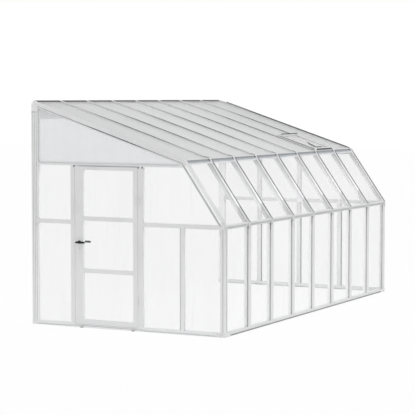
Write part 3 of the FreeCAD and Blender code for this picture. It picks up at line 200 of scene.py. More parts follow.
class Palette(NodeTree):
    """Builds one material's nodes round one principled shader."""

    def __init__(self, material: bpy.types.Material) -> None:
        """Clear a material and give it one principled shader.

        Args:
            material: The material to fill.
        """
        super().__init__(material)
        self.shader = self.tree.nodes.new("ShaderNodeBsdfPrincipled")
        self.output = self.tree.nodes.new("ShaderNodeOutputMaterial")
        self.surface(Signal(self, self.shader.outputs["BSDF"]))

    def surface(self, shader: Signal) -> None:
        """Show a shader on the surface."""
        self.feed(self.output.inputs["Surface"], shader)

    def glow(self, kind: str, amount: Number, **values: Any) -> None:
        """Mix another shader into the surface.

        Args:
            kind: The other shader's node type.
            amount: Its share.
            values: Its sockets.
        """
        other = self.node(kind, {}, values)
        self.surface(self.mix(amount, Signal(self, self.shader.outputs["BSDF"]), other))

    def place(self) -> Signal:
        """Object coordinates, in metres."""
        return self.node("ShaderNodeTexCoord", {}, {}, "Object")

    def axis(self, name: str) -> Signal:
        """One of the three object coordinates."""
        return self.node("ShaderNodeSeparateXYZ", {}, {0: self.place()}, name)

    def noise(self, scale: float, detail: float = 2.0, stretch: Sequence[float] = (1.0, 1.0, 1.0)) -> Signal:
        """Even noise between 0 and 1.

        Args:
            scale: Spots per metre.
            detail: Octaves of finer noise.
            stretch: Scale on each axis.

        Returns:
            The noise value.
        """
        where = self.node("ShaderNodeMapping", {}, {"Vector": self.place(), "Scale": tuple(stretch)})
        return self.node(
            "ShaderNodeTexNoise", {},
            {"Vector": where, "Scale": scale, "Detail": detail, "Roughness": 0.55}, "Fac")

    def blend(self, first: Sequence[float], second: Sequence[float], amount: Number) -> Signal:
        """Mix two colours by a value."""
        return self.node(
            "ShaderNodeMix", {"data_type": "RGBA"},
            {0: amount, 6: (*first, 1.0), 7: (*second, 1.0)}, 2)

    def tint(self, under: Signal, colour: Sequence[float], amount: Number) -> Signal:
        """Lay a colour over another by a value."""
        return self.node("ShaderNodeMix", {"data_type": "RGBA"}, {0: amount, 6: under, 7: (*colour, 1.0)}, 2)

    def bump(self, height: Signal, strength: float, distance: float) -> None:
        """Raise the surface by a height signal."""
        normal = self.node(
            "ShaderNodeBump", {}, {"Height": height, "Strength": strength, "Distance": distance})
        self.feed(self.shader.inputs["Normal"], normal)

    def set(self, **values: Any) -> None:
        """Set or link shader sockets, named with underscores for spaces."""
        for name, value in values.items():
            self.feed(self.shader.inputs[name.replace("_", " ")], value)


@dataclass(frozen=True)
class Finish:
    """A finish: the record's slot that it belongs to, and how its surface is painted."""

    name: str
    slot: str
    colour: Triple
    roughness: float

    def material(self) -> bpy.types.Material:
        """Make the finish's material, once.

        Returns:
            The new material, or the one made before.
        """
        made = bpy.data.materials.get(self.name)
        if made is None:
            made = bpy.data.materials.new(self.name)
            self.paint(Palette(made))
        return made

    def shade(self, factor: float) -> Triple:
        """The finish's colour made lighter or darker."""
        return tuple(min(1.0, channel * factor) for channel in self.colour)

    def paint(self, palette: Palette) -> None:
        """Paint the nodes.

        Args:
            palette: The material's builder.
        """
        raise NotImplementedError


class Side(Enum):
    """An outer side of the sunroom: its axis, the way out along it, and how far out it lies."""

    FRONT = ("Y", -1.0, 1.285)
    DOOR_END = ("X", -1.0, 2.5)

    def behind(self, palette: Palette) -> Signal:
        """Mark the faces just behind the side's glazing, where painted light lifts the resin.

        Args:
            palette: The material's builder.

        Returns:
            One there, and nought on the outer face and deep in the room.
        """
        axis, way, reach = self.value
        depth = reach - palette.axis(axis) * way
        glazed, deep = depth.ease(0.0105, 0.0140), depth.ease(0.10, 0.20)
        return glazed * (1.0 - deep)


@dataclass(frozen=True)
class ResinWhite(Finish):
    """Satin white resin: faint clouds and a fine skin, painted light on faces just behind the glazing, and a
    painted floor-bounce glow low down.
    """

    side: Optional[Side] = None
    painted_light_behind_glass: Triple = (0.92, 0.92, 0.925)
    dust: Triple = (0.50, 0.49, 0.46)
    dust_height: float = 0.16
    floor_bounce_lift: float = 1.09
    floor_bounce_height: float = 1.5

    def paint(self, palette: Palette) -> None:
        """Paint the profile's skin.

        Args:
            palette: The material's builder.
        """
        cloud = palette.noise(3.0, 3.0).ease(0.3, 0.7)
        speck = palette.noise(90.0, 2.0).ease(0.35, 0.75)
        base = palette.blend(self.shade(0.955), self.shade(1.03), cloud)
        base = palette.tint(base, self.shade(0.90), speck * 0.22)
        low = 1.0 - palette.axis("Z").ease(0.0, self.dust_height)
        film = low * palette.noise(14.0, 4.0, (1.0, 1.0, 2.5)).ease(0.38, 0.8)
        base = palette.tint(base, self.dust, film * 0.10)
        # Painted floor bounce: the resin is lightened towards the floor.
        painted_floor_bounce = 0.8 - palette.axis("Z").ease(0.0, self.floor_bounce_height) * 0.8
        base = palette.tint(base, self.shade(self.floor_bounce_lift), painted_floor_bounce)
        # Painted light: faces just behind the glazing are lifted toward a brighter white.
        if self.side is not None:
            base = palette.tint(base, self.painted_light_behind_glass, self.side.behind(palette))
        palette.set(
            Base_Color=base,
            Roughness=palette.noise(25.0, 3.0) * 0.16 + (self.roughness - 0.08),
            Specular_IOR_Level=0.2)
        palette.bump(palette.noise(650.0, 2.0), 0.10, 0.0004)


@dataclass(frozen=True)
class MouldedPlastic(Finish):
    """Moulded plastic with a fine spark-eroded grain."""

    grain: float = 0.18

    def paint(self, palette: Palette) -> None:
        """Paint the moulding's grain.

        Args:
            palette: The material's builder.
        """
        cloud = palette.noise(22.0, 3.0).ease(0.3, 0.75)
        rub = palette.noise(140.0, 2.0).ease(0.5, 0.85)
        base = palette.blend(self.shade(0.90), self.shade(1.06), cloud)
        palette.set(
            Base_Color=palette.tint(base, self.shade(1.35), rub * 0.16),
            Roughness=palette.noise(60.0, 3.0) * 0.2 + (self.roughness - 0.1),
            Specular_IOR_Level=0.22)
        palette.bump(palette.noise(1400.0, 2.0), self.grain, 0.0003)


@dataclass(frozen=True)
class ClearPane(Finish):
    """Clear sheet with a slight haze, a film of wiped dust and rain marks."""

    haze: float = 0.16

    def paint(self, palette: Palette) -> None:
        """Paint the sheet's film.

        Args:
            palette: The material's builder.
        """
        wipe = palette.noise(2.2, 3.0, (1.0, 1.0, 0.35)).ease(0.3, 0.75)
        runs = palette.noise(30.0, 2.0, (1.0, 1.0, 0.06)).ease(0.55, 0.85)
        palette.set(
            Base_Color=palette.blend(self.shade(0.97), self.shade(1.03), wipe),
            Roughness=runs * 0.06 + self.roughness,
            Alpha=wipe * 0.03 + runs * 0.025 + (self.haze - 0.02),
            Specular_IOR_Level=0.5,
            IOR=1.49)


class Flutes(Enum):
    """The axis that a twin-wall sheet's flutes are counted along."""

    ALONG_ROOF = "X"
    UPRIGHT = "Y"

    @property
    def stretch(self) -> Triple:
        """Noise scales that draw streaks along the flutes."""
        return tuple(1.0 if name == self.value else 0.02 for name in "XYZ")


@dataclass(frozen=True)
class TwinWall(Finish):
    """Translucent twin-wall sheet: flutes between its skins, milky between them."""

    flutes: Flutes = Flutes.ALONG_ROOF
    pitch: float = 0.0105
    body: float = 0.6
    passing: float = 0.0
    streaks: float = 16.0
    streaky: float = 0.8

    def paint(self, palette: Palette) -> None:
        """Paint the flutes and the milky skins.

        Args:
            palette: The material's builder.
        """
        across = palette.axis(self.flutes.value) * (1.0 / self.pitch)
        web = 1.0 - across.fraction().distance(0.5).ease(0.0, 0.16)
        cloud = palette.noise(1.6, 3.0).ease(0.3, 0.7)
        base = palette.blend(self.shade(0.97), self.shade(1.03), cloud)
        base = palette.tint(base, self.shade(0.86), web * 0.5)
        streak = palette.noise(self.streaks, 3.0, self.flutes.stretch).ease(0.35, 0.7)
        base = palette.tint(base, self.shade(0.90), streak * self.streaky)
        palette.set(
            Base_Color=base,
            Roughness=palette.noise(35.0, 2.0) * 0.12 + self.roughness,
            Alpha=web * 0.12 + cloud * 0.03 + self.body,
            Specular_IOR_Level=0.5)
        palette.bump(web, 0.12, 0.0006)
        if self.passing:
            palette.glow("ShaderNodeBsdfTranslucent", self.passing, Color=(*self.shade(1.3), 1.0))


@dataclass(frozen=True)
class Rubber(Finish):
    """Extruded rubber: matt, with a dusty bloom."""

    bloom: float = 0.25
    powder: Triple = (0.42, 0.43, 0.44)

    def paint(self, palette: Palette) -> None:
        """Paint the rubber's bloom.

        Args:
            palette: The material's builder.
        """
        dust = palette.noise(45.0, 4.0).ease(0.4, 0.8)
        base = palette.blend(self.shade(0.8), self.shade(1.15), palette.noise(8.0, 2.0))
        palette.set(
            Base_Color=palette.tint(base, self.powder, dust * self.bloom),
            Roughness=dust * 0.15 + self.roughness,
            Specular_IOR_Level=0.3)
        palette.bump(palette.noise(900.0, 2.0), 0.15, 0.0003)


@dataclass(frozen=True)
class ZincSteel(Finish):
    """Zinc-plated steel with fine drawn lines and cloudy plating."""

    def paint(self, palette: Palette) -> None:
        """Paint the plating.

        Args:
            palette: The material's builder.
        """
        drawn = palette.noise(900.0, 2.0, (1.0, 0.04, 1.0))
        cloud = palette.noise(70.0, 3.0).ease(0.3, 0.8)
        palette.set(
            Base_Color=palette.blend(self.shade(0.85), self.shade(1.1), cloud),
            Roughness=drawn * 0.18 + (self.roughness - 0.05),
            Metallic=1.0)
        palette.bump(drawn, 0.08, 0.0002)


# One white resin and one knee plastic in lighter and darker copies, each toned to how its parts are lit:
# painted light and shade by part.
WHITE = ResinWhite("resin_white", "frame_white", (0.77, 0.77, 0.775), 0.42)
FRONT_WHITE = ResinWhite("front_white", "frame_white", (0.73, 0.73, 0.735), 0.42, side=Side.FRONT)
EDGE_WHITE = ResinWhite("edge_white", "frame_white", (0.73, 0.73, 0.735), 0.42)
POST_WHITE = ResinWhite("post_white", "frame_white", (0.785, 0.785, 0.79), 0.42, side=Side.DOOR_END)
# Painted shade: a darker white for the far gable's members, seen across the room.
FAR_SHADE_WHITE = ResinWhite("far_painted_shade_white", "frame_white", (0.64, 0.64, 0.645), 0.46)
DOOR_WHITE = ResinWhite("door_white", "frame_white", (0.725, 0.725, 0.73), 0.40, side=Side.DOOR_END)
GABLE_WHITE = ResinWhite("gable_white", "frame_white", (0.735, 0.735, 0.74), 0.42, side=Side.DOOR_END)
# Painted highlight: a near-white for the bright bevelled edge of the door end's sloped bar.
HIGHLIGHT_WHITE = ResinWhite("painted_highlight_white", "frame_white", (0.92, 0.92, 0.925), 0.40, floor_bounce_lift=1.0)
KNEE_WHITE = MouldedPlastic("knee_white", "knee_plastic", (0.77, 0.77, 0.775), 0.48)
LOW_KNEE_WHITE = MouldedPlastic("low_knee_white", "knee_plastic", (0.65, 0.65, 0.655), 0.50)
GABLE_CLEAR = ClearPane("gable_clear", "clear_pane", (0.60, 0.605, 0.61), 0.06, haze=0.115)
FRONT_CLEAR = ClearPane("front_clear", "clear_pane", (0.60, 0.605, 0.61), 0.06, haze=0.10)
# Painted shade: the sloped panes' darker colour offsets the room lamps' light on their backs.
SLOPE_CLEAR = ClearPane("slope_clear", "clear_pane", (0.25, 0.252, 0.255), 0.06, haze=0.094)
FAR_CLEAR = ClearPane("far_clear", "clear_pane", (0.60, 0.605, 0.61), 0.06, haze=0.03)
ROOF_SHEET = TwinWall(
    "roof_sheet", "twin_wall", (0.72, 0.722, 0.722), 0.28, body=0.84, passing=0.5, streaky=1.0)
VENT_SHEET = TwinWall("vent_sheet", "twin_wall", (0.88, 0.88, 0.88), 0.28, body=0.12)
GABLE_SHEET = TwinWall(
    "gable_sheet", "twin_wall", (0.73, 0.745, 0.76), 0.30, flutes=Flutes.UPRIGHT, body=0.36, streaky=0.25)
SEAL_DARK = Rubber("seal_dark", "dark_rubber", (0.050, 0.053, 0.057), 0.62)
SEAL_BLUE = Rubber("seal_blue_grey", "dark_rubber", (0.30, 0.318, 0.335), 0.60)
SEAL_GREY = Rubber("seal_grey", "dark_rubber", (0.17, 0.17, 0.175), 0.62, bloom=0.15)
SEAL_SOFT = Rubber("seal_soft_grey", "dark_rubber", (0.30, 0.305, 0.31), 0.62, bloom=0.12)
SEAL_PALE = Rubber("seal_pale", "dark_rubber", (0.74, 0.755, 0.775), 0.58, bloom=0.06)
SEAL_MID = Rubber("seal_mid_grey", "dark_rubber", (0.53, 0.535, 0.54), 0.60, bloom=0.08)
SEAL_LIP = Rubber("seal_lip", "dark_rubber", (0.48, 0.50, 0.52), 0.58, bloom=0.08)
LUG_GREY = MouldedPlastic("lug_grey", "black_plastic", (0.26, 0.26, 0.265), 0.50, grain=0.12)
BLACK = MouldedPlastic("satin_black", "black_plastic", (0.010, 0.010, 0.011), 0.45, grain=0.10)
STEEL = ZincSteel("zinc_steel", "steel", (0.56, 0.565, 0.57), 0.34)
NICKEL = ZincSteel("pale_nickel", "steel", (0.74, 0.74, 0.745), 0.42)

NODE_FINISHES: dict[Finish, tuple[str, ...]] = {
    WHITE: (
        "base_rail_door_end", "eave_rail", "rafters", "slope_bars", "wall_beam",
        "vent_curb_ends", "vent_curb_sides", "vent_hinge_blocks", "vent_sash_bottom", "vent_sash_sides",
        "vent_sash_top"),
    FRONT_WHITE: ("front_posts", "base_rail_front", "waist_rail_front"),
    EDGE_WHITE: ("corner_posts", "end_slope_bars", "end_rafters"),
    FAR_SHADE_WHITE: ("base_rail_far_end",),
    POST_WHITE: ("wall_posts",),
    GABLE_WHITE: ("gable_studs", "gable_waist_rails", "head_rails"),
    DOOR_WHITE: (
        "jamb_lock_side", "jamb_hinge_side", "door_lock_stile", "door_hinge_stile", "door_rails",
        "hinge_frame_leaves", "hinge_door_leaves"),
    KNEE_WHITE: ("base_feet", "upper_knees", "wall_caps"),
    LOW_KNEE_WHITE: ("lower_knees",),
    GABLE_CLEAR: ("panes_door_end", "door_panes"),
    FRONT_CLEAR: ("front_panes",),
    SLOPE_CLEAR: ("slope_panes",),
    FAR_CLEAR: ("panes_far_end",),
    ROOF_SHEET: ("roof_panels",),
    VENT_SHEET: ("vent_panel",),
    GABLE_SHEET: ("gable_panels",),
    SEAL_DARK: ("door_seal", "ridge_seal"),
    SEAL_BLUE: ("eave_seal",),
    LUG_GREY: ("threshold_lugs",),
    BLACK: ("lever_roses", "lever_outside", "lever_inside", "vent_peg", "vent_stay", "vent_stay_clips"),
    STEEL: ("hinge_pins", "strike_plate", "lock_case", "lever_spindle", "latch_bolt", "dead_bolt"),
    NICKEL: ("lock_cylinder", "key_plug", "vent_hinge_rod"),
}


class Body(Enum):
    """The moving bodies that pieces ride on."""

    FRAME = "frame"
    DOOR = "door"
    LEVER = "lever"
    VENT = "vent"
    STAY = "stay"


class Bench:
    """A mesh in the making: bars, strips, turned and swept parts, each put in its place."""

    def __init__(self) -> None:
        """Start an empty mesh."""
        self.mesh = bmesh.new()

    def bar(self, place: Matrix, low: Sequence[float], high: Sequence[float], soften: float) -> None:
        """Add a bar between two corners, with its edges rolled over.

        Args:
            place: The frame that the corners are given in.
            low: The lowest corner.
            high: The highest corner.
            soften: How far the edges are rolled over, in metres.
        """
        low, high = Vector(low), Vector(high)
        size = Matrix.Diagonal((*(high - low), 1.0))
        made = bmesh.ops.create_cube(
            self.mesh, size=1.0, matrix=place @ Matrix.Translation((low + high) / 2) @ size)
        edges = {edge for vert in made["verts"] for edge in vert.link_edges}
        bmesh.ops.bevel(
            self.mesh, geom=list(edges), offset=soften, offset_type="OFFSET", affect="EDGES",
            segments=2, profile=0.5, material=-1, clamp_overlap=True)

    def turned(self, place: Matrix, profile: Sequence[Point], steps: int) -> None:
        """Add a part turned on the frame's third axis.

        Args:
            place: The frame.
            profile: Radius and height of each point, from the axis round to the axis.
            steps: Facets round the axis.
        """
        verts = [self.mesh.verts.new(place @ Vector((radius, 0.0, height))) for radius, height in profile]
        edges = [self.mesh.edges.new(pair) for pair in zip(verts, verts[1:])]
        bmesh.ops.spin(
            self.mesh, geom=verts + edges, cent=place.translation, axis=place.to_3x3() @ Vector((0, 0, 1)),
            angle=math.tau, steps=steps, use_merge=True, use_duplicate=False)
        bmesh.ops.remove_doubles(self.mesh, verts=list(self.mesh.verts), dist=1e-6)

    def swept(self, loops: Sequence[Sequence[Vector]]) -> None:
        """Add a closed skin over a row of loops with as many points each.

        Args:
            loops: The loops' points, in order along the part.
        """
        rows = [[self.mesh.verts.new(point) for point in loop] for loop in loops]
        rings = [
            [self.mesh.edges.new((row[index - 1], row[index])) for index in range(len(row))] for row in rows]
        for first, second in zip(rings, rings[1:]):
            bmesh.ops.bridge_loops(self.mesh, edges=first + second)
        for row in (rows[0], rows[-1]):
            self.mesh.faces.new(row)

    def strip(self, place: Matrix, stops: Sequence[tuple[float, Point, Point]]) -> None:
        """Add a strip whose flat section changes along its run.

        Args:
            place: The frame: across, along the run, and outward.
            stops: The distance along, then the section's span across and its span outward.
        """
        self.swept([
            [place @ Vector((left, along, low)), place @ Vector((right, along, low)),
             place @ Vector((right, along, high)), place @ Vector((left, along, high))]
            for along, (left, right), (low, high) in stops])

    def screw(self, place: Matrix, radius: float) -> None:
        """Add a pan-head screw with a round driver recess."""
        self.turned(place, (
            (0.0, radius * 0.25), (radius * 0.38, radius * 0.25), (radius * 0.42, radius * 0.60),
            (radius * 0.72, radius * 0.52), (radius * 0.94, radius * 0.28), (radius, 0.0),
            (0.0, -radius * 0.1)), steps=10)

    def piece(self, name: str, finish: Finish, body: Body) -> bpy.types.Object:
        """Finish the mesh as an object that rides on a body.

        Args:
            name: The piece's name.
            finish: What it is made of.
            body: What it moves with.

        Returns:
            The new object.
        """
        bmesh.ops.recalc_face_normals(self.mesh, faces=self.mesh.faces)
        for face in self.mesh.faces:
            face.smooth = True
        data = bpy.data.meshes.new(name)
        self.mesh.to_mesh(data)
        self.mesh.free()
        data.set_sharp_from_angle(angle=math.radians(35.0))
        data.materials.append(finish.material())
        made = link(name, data)
        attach(made, body.value)
        LOG.info("%s: %d faces", name, len(data.polygons))
        return made


@dataclass(frozen=True)
class Layout:
    """The sunroom's main sizes, in metres, and the frames that its pieces are placed in."""

    # The outer faces, and the corners of a bow in Y and Z.
    half: float = 2.5
    front: float = -1.285
    wall: float = 1.285
    knee: Point = (-1.285, 1.252)
    eave: Point = (-0.768, 1.991)
    ridge: Point = (1.285, 2.667)
    # The bows, their bars and knees, and the glazing between them.
    first_bow: float = -2.471
    pitch: float = 0.61775
    bays: int = 8
    bar_half: float = 0.025
    end_half: float = 0.029
    profile: float = 0.056
    wall_post: float = 0.090
    pane_depth: float = 0.0123
    leg: float = 0.062
    knee_rise: float = 0.004
    # The levels of the rails, and the door in the near gable.
    base_top: float = 0.050
    waist_rail: Point = (1.216, 1.266)
    head_rail: float = 1.900
    jambs: Point = (-0.233, 0.742)
    doorway: Point = (-0.163, 0.683)
    door_leaf: Point = (-0.158, 0.678)
    hinge_levels: Point = (1.505, 0.350)

    def bow(self, index: int) -> float:
        """The X of a bow's middle."""
        return self.first_bow + self.pitch * index

    def gaps(self, inset: float) -> list[Point]:
        """Each bay's span of X, less an inset from the bows' middles."""
        return [(self.bow(index) + inset, self.bow(index + 1) - inset) for index in range(self.bays)]

    def run(self, start: Point, end: Point) -> Matrix:
        """Lay a frame on the outer face of a run of bars.

        Args:
            start: Y and Z where the run starts.
            end: Y and Z where it ends.

        Returns:
            A frame of X, along the run, and outward.
        """
        along = Vector((0.0, end[0] - start[0], end[1] - start[1])).normalized()
        across = Vector((1.0, 0.0, 0.0))
        turn = Matrix((across, along, across.cross(along))).transposed().to_4x4()
        return Matrix.Translation((0.0, *start)) @ turn

    @property
    def upright(self) -> Matrix:
        """The front wall's frame."""
        return self.run((self.front, 0.0), self.knee)

    @property
    def slope(self) -> Matrix:
        """The sloped front's frame."""
        return self.run(self.knee, self.eave)

    @property
    def roof(self) -> Matrix:
        """The roof's frame."""
        return self.run(self.eave, self.ridge)

    @property
    def slope_length(self) -> float:
        """The sloped front's length."""
        return math.dist(self.knee, self.eave)

    @property
    def roof_length(self) -> float:
        """The roof's length."""
        return math.dist(self.eave, self.ridge)

    def gable(self, x: float, end: int) -> Matrix:
        """A frame on a gable at X: along Y, up, and out of the room at the end given by -1 or 1."""
        out = Matrix(((0.0, 1.0, 0.0), (0.0, 0.0, 1.0), (float(end), 0.0, 0.0))).transposed().to_4x4()
        return Matrix.Translation((x, 0.0, 0.0)) @ out

    def outside(self, end: int) -> Matrix:
        """The frame on a gable's outer face, at the end given by -1 or 1."""
        return self.gable(self.half * end, end)

    @property
    def far_inside(self) -> Matrix:
        """The frame on the inner face of the far gable."""
        return self.gable(self.half - self.profile, -1)


@dataclass(frozen=True)
class BowSeals:
    """Gaskets and beads along the bows: on roof and slope, beside the posts, and on the gable faces."""

    layout: Layout
    # Beads on the rafters and the sloped bars.
    inset: float = 0.002
    clear: float = 0.001
    bead: float = 0.008
    slope_bead: float = 0.0105
    rise: float = 0.0075
    knee_bead: float = 0.0045
    knee_start: float = 0.003
    slope_knee_start: float = 0.010
    far_bead: Point = (0.020, 0.009)
    far_run: Point = (0.030, 2.050)
    far_rise: float = 0.009
    highlight_depth: Point = (0.0260, 0.0030)
    highlight_lift: float = 0.0012
    pane_bead: float = 0.045
    pane_bead_face: float = 0.0060
    # Beads, lips and plugs beside the posts.
    post_bead: float = 0.028
    post_bead_face: float = 0.002
    corner_bead: float = 0.022
    corner_lip: Point = (0.0120, 0.0068)
    corner_lip_top: float = 1.188
    corner_lip_lift: float = 0.0008
    lip: float = 0.011
    lip_rise: float = 0.0025
    lip_dark: float = 1.130
    lip_dark_face: float = 0.007
    plug: float = 0.018
    plug_face: float = 0.004
    eave_plug: Point = (0.0310, 0.0070)
    eave_plug_width: float = 0.034
    eave_plug_rise: Point = (0.0002, 0.0042)
    gable_plug: Point = (1.155, 1.214)
    gable_plug_width: float = 0.0075
    # Strips on the gable faces of the end bows.
    side_lift: float = 0.0015
    side_depth: Point = (0.0365, 0.0445)
    side_ends: Point = (0.030, 0.008)
    corner_depth: Point = (0.020, 0.024)
    corner_top: float = 1.225
    rake_depth: float = 0.0405

    def build(self) -> None:
        """Make every gasket of the bows."""
        self.rafters()
        self.slopes()
        self.near_slope()
        self.posts()
        self.sides()

    def rafters(self) -> None:
        """Beads on the rafters' near edges, thinner toward both ends, on the knees and by the far gable."""
        bench, lay = Bench(), self.layout
        # Distance up the roof, width and height of a rafter's bead.
        stops = (
            (lay.leg + self.clear, 0.0060, 0.0026), (0.40, 0.0065, 0.0034), (0.60, 0.0075, 0.0056),
            (0.80, self.bead, 0.0072), (1.35, self.bead, 0.0066), (1.60, 0.0070, 0.0034),
            (1.80, 0.0055, 0.0014), (lay.roof_length - 0.030, 0.0045, 0.0008))
        for index in range(1, lay.bays + 1):
            near = lay.bow(index) - lay.bar_half + self.inset
            bench.strip(lay.roof, [
                (along, (near, near + width), (0.0, rise)) for along, width, rise in stops])
            bench.bar(lay.roof, (near, self.knee_start, lay.knee_rise),
                      (near + self.bead, lay.leg, lay.knee_rise + self.knee_bead), 0.0012)
        bench.bar(lay.roof, (lay.half - self.far_bead[0], self.far_run[0], 0.0),
                  (lay.half - self.far_bead[1], self.far_run[1], self.far_rise), 0.0015)
        bench.piece("rafter_gaskets", SEAL_DARK, Body.FRAME)

    def slopes(self) -> None:
        """Raised beads along the sloped bars' far edges and over their knees."""
        bench, lay = Bench(), self.layout
        upper, start = lay.slope_length - lay.leg, self.slope_knee_start
        for index in range(1, lay.bays + 1):
            far = lay.bow(index) + lay.bar_half - self.inset
            near = far - self.slope_bead
            bench.bar(lay.slope, (near, lay.leg + self.clear, 0.0),
                      (far, upper - self.clear, self.rise), 0.0015)
            for low, high in ((start, lay.leg), (upper, lay.slope_length - start)):
                bench.bar(lay.slope, (near, low, lay.knee_rise),
                          (far, high, lay.knee_rise + self.knee_bead), 0.0012)
        bench.piece("slope_gaskets", SEAL_GREY, Body.FRAME)

    def near_slope(self) -> None:
        """A thin near-white strip, a painted highlight, on the gable face of the door end's sloped bar, and a
        bead on the pane beside it.
        """
        edge_highlight, bead, lay = Bench(), Bench(), self.layout
        low, high = lay.leg + 2 * self.clear, lay.slope_length - lay.leg - 2 * self.clear
        # Painted highlight along the edge between the gable face and the slope.
        edge_highlight.bar(lay.slope, (-lay.half - self.highlight_lift, low, -self.highlight_depth[0]),
                (-lay.half, high, -self.highlight_depth[1]), 0.0005)
        inner = lay.bow(0) + lay.end_half
        bead.bar(lay.slope, (inner, low, -lay.pane_depth),
                 (inner + self.pane_bead, high, -self.pane_bead_face), 0.0020)
        edge_highlight.piece("near_slope_edge_highlight", HIGHLIGHT_WHITE, Body.FRAME)
        bead.piece("near_slope_bead", EDGE_WHITE, Body.FRAME)

    def posts(self) -> None:
        """White beads and grey lips on the front panes beside the posts, with plugs and darker lip tops."""
        lips, beads, plugs, tops, lay = Bench(), Bench(), Bench(), Bench(), self.layout
        low, waist, pane, eave = lay.base_top, lay.waist_rail[0], -lay.pane_depth, lay.slope_length
        sunk, proud = self.eave_plug_rise
        for index in range(lay.bays):
            edge = lay.bow(index) + (lay.bar_half if index else lay.end_half)
            self.white_bead(beads, edge, edge + self.post_bead)
        corner = lay.bow(0) + lay.end_half
        lips.bar(lay.upright, (corner - self.corner_lip[0], low, 0.0),
                 (corner - self.corner_lip[1], self.corner_lip_top, self.corner_lip_lift), 0.0003)
        for index in range(1, lay.bays + 1):
            edge = lay.bow(index) - lay.bar_half
            if index == lay.bays:
                corner = lay.bow(index) - lay.end_half
                edge = corner - self.corner_bead
                self.white_bead(beads, edge, corner)
            lips.bar(lay.upright, (edge - self.lip, low, pane),
                     (edge, waist + self.clear, pane + self.lip_rise), 0.001)
            plugs.bar(lay.upright, (edge - self.lip, waist - self.plug, pane),
                      (edge, waist, -self.plug_face), 0.002)
            tops.bar(lay.upright, (edge - self.lip * 0.9, self.lip_dark, pane + 0.0002),
                     (edge, waist - self.plug - self.clear, -self.lip_dark_face), 0.001)
            plugs.bar(lay.slope, (edge - self.eave_plug_width, eave - self.eave_plug[0], sunk),
                      (edge - 0.0005, eave - self.eave_plug[1], proud), 0.001)
        side = lay.front + lay.profile
        tops.bar(lay.gable(lay.pane_depth - lay.half, -1), (side, self.gable_plug[0], 0.0),
                 (side + self.gable_plug_width, self.gable_plug[1], 0.0040), 0.001)
        lips.piece("post_gaskets", SEAL_SOFT, Body.FRAME)
        beads.piece("post_beads", WHITE, Body.FRAME)
        plugs.piece("bow_plugs", SEAL_DARK, Body.FRAME)
        tops.piece("post_gasket_tops", SEAL_GREY, Body.FRAME)

    def white_bead(self, bench: Bench, left: float, right: float) -> None:
        """Add a white bead on a front pane, from the base rail to the waist rail."""
        lay = self.layout
        bench.bar(lay.upright, (left, lay.base_top, -lay.pane_depth),
                  (right, lay.waist_rail[0] + self.clear, -self.post_bead_face), 0.003)

    def sides(self) -> None:
        """Flat strips along the end bows, on their gable faces."""
        rakes, others, lay = Bench(), Bench(), self.layout
        # Distance up the roof, and half of a rake strip's breadth.
        stops = (
            (0.020, 0.0014), (0.45, 0.0024), (0.65, 0.0048), (1.22, 0.0048), (1.45, 0.0024), (2.055, 0.0014))
        for end in (-1, 1):
            left, right = sorted((lay.half * end, (lay.half + self.side_lift) * end))
            rakes.strip(lay.roof, [
                (along, (left, right), (-self.rake_depth - half, half - self.rake_depth))
                for along, half in stops])
            others.bar(lay.slope, (left, self.side_ends[0], -self.side_depth[1]),
                       (right, lay.slope_length - self.side_ends[1], -self.side_depth[0]), 0.0006)
            others.bar(lay.upright, (left, lay.base_top, -self.corner_depth[1]),
                       (right, self.corner_top, -self.corner_depth[0]), 0.0006)
        rakes.piece("rake_gaskets", SEAL_DARK, Body.FRAME)
        others.piece("gable_side_gaskets", SEAL_SOFT, Body.FRAME)


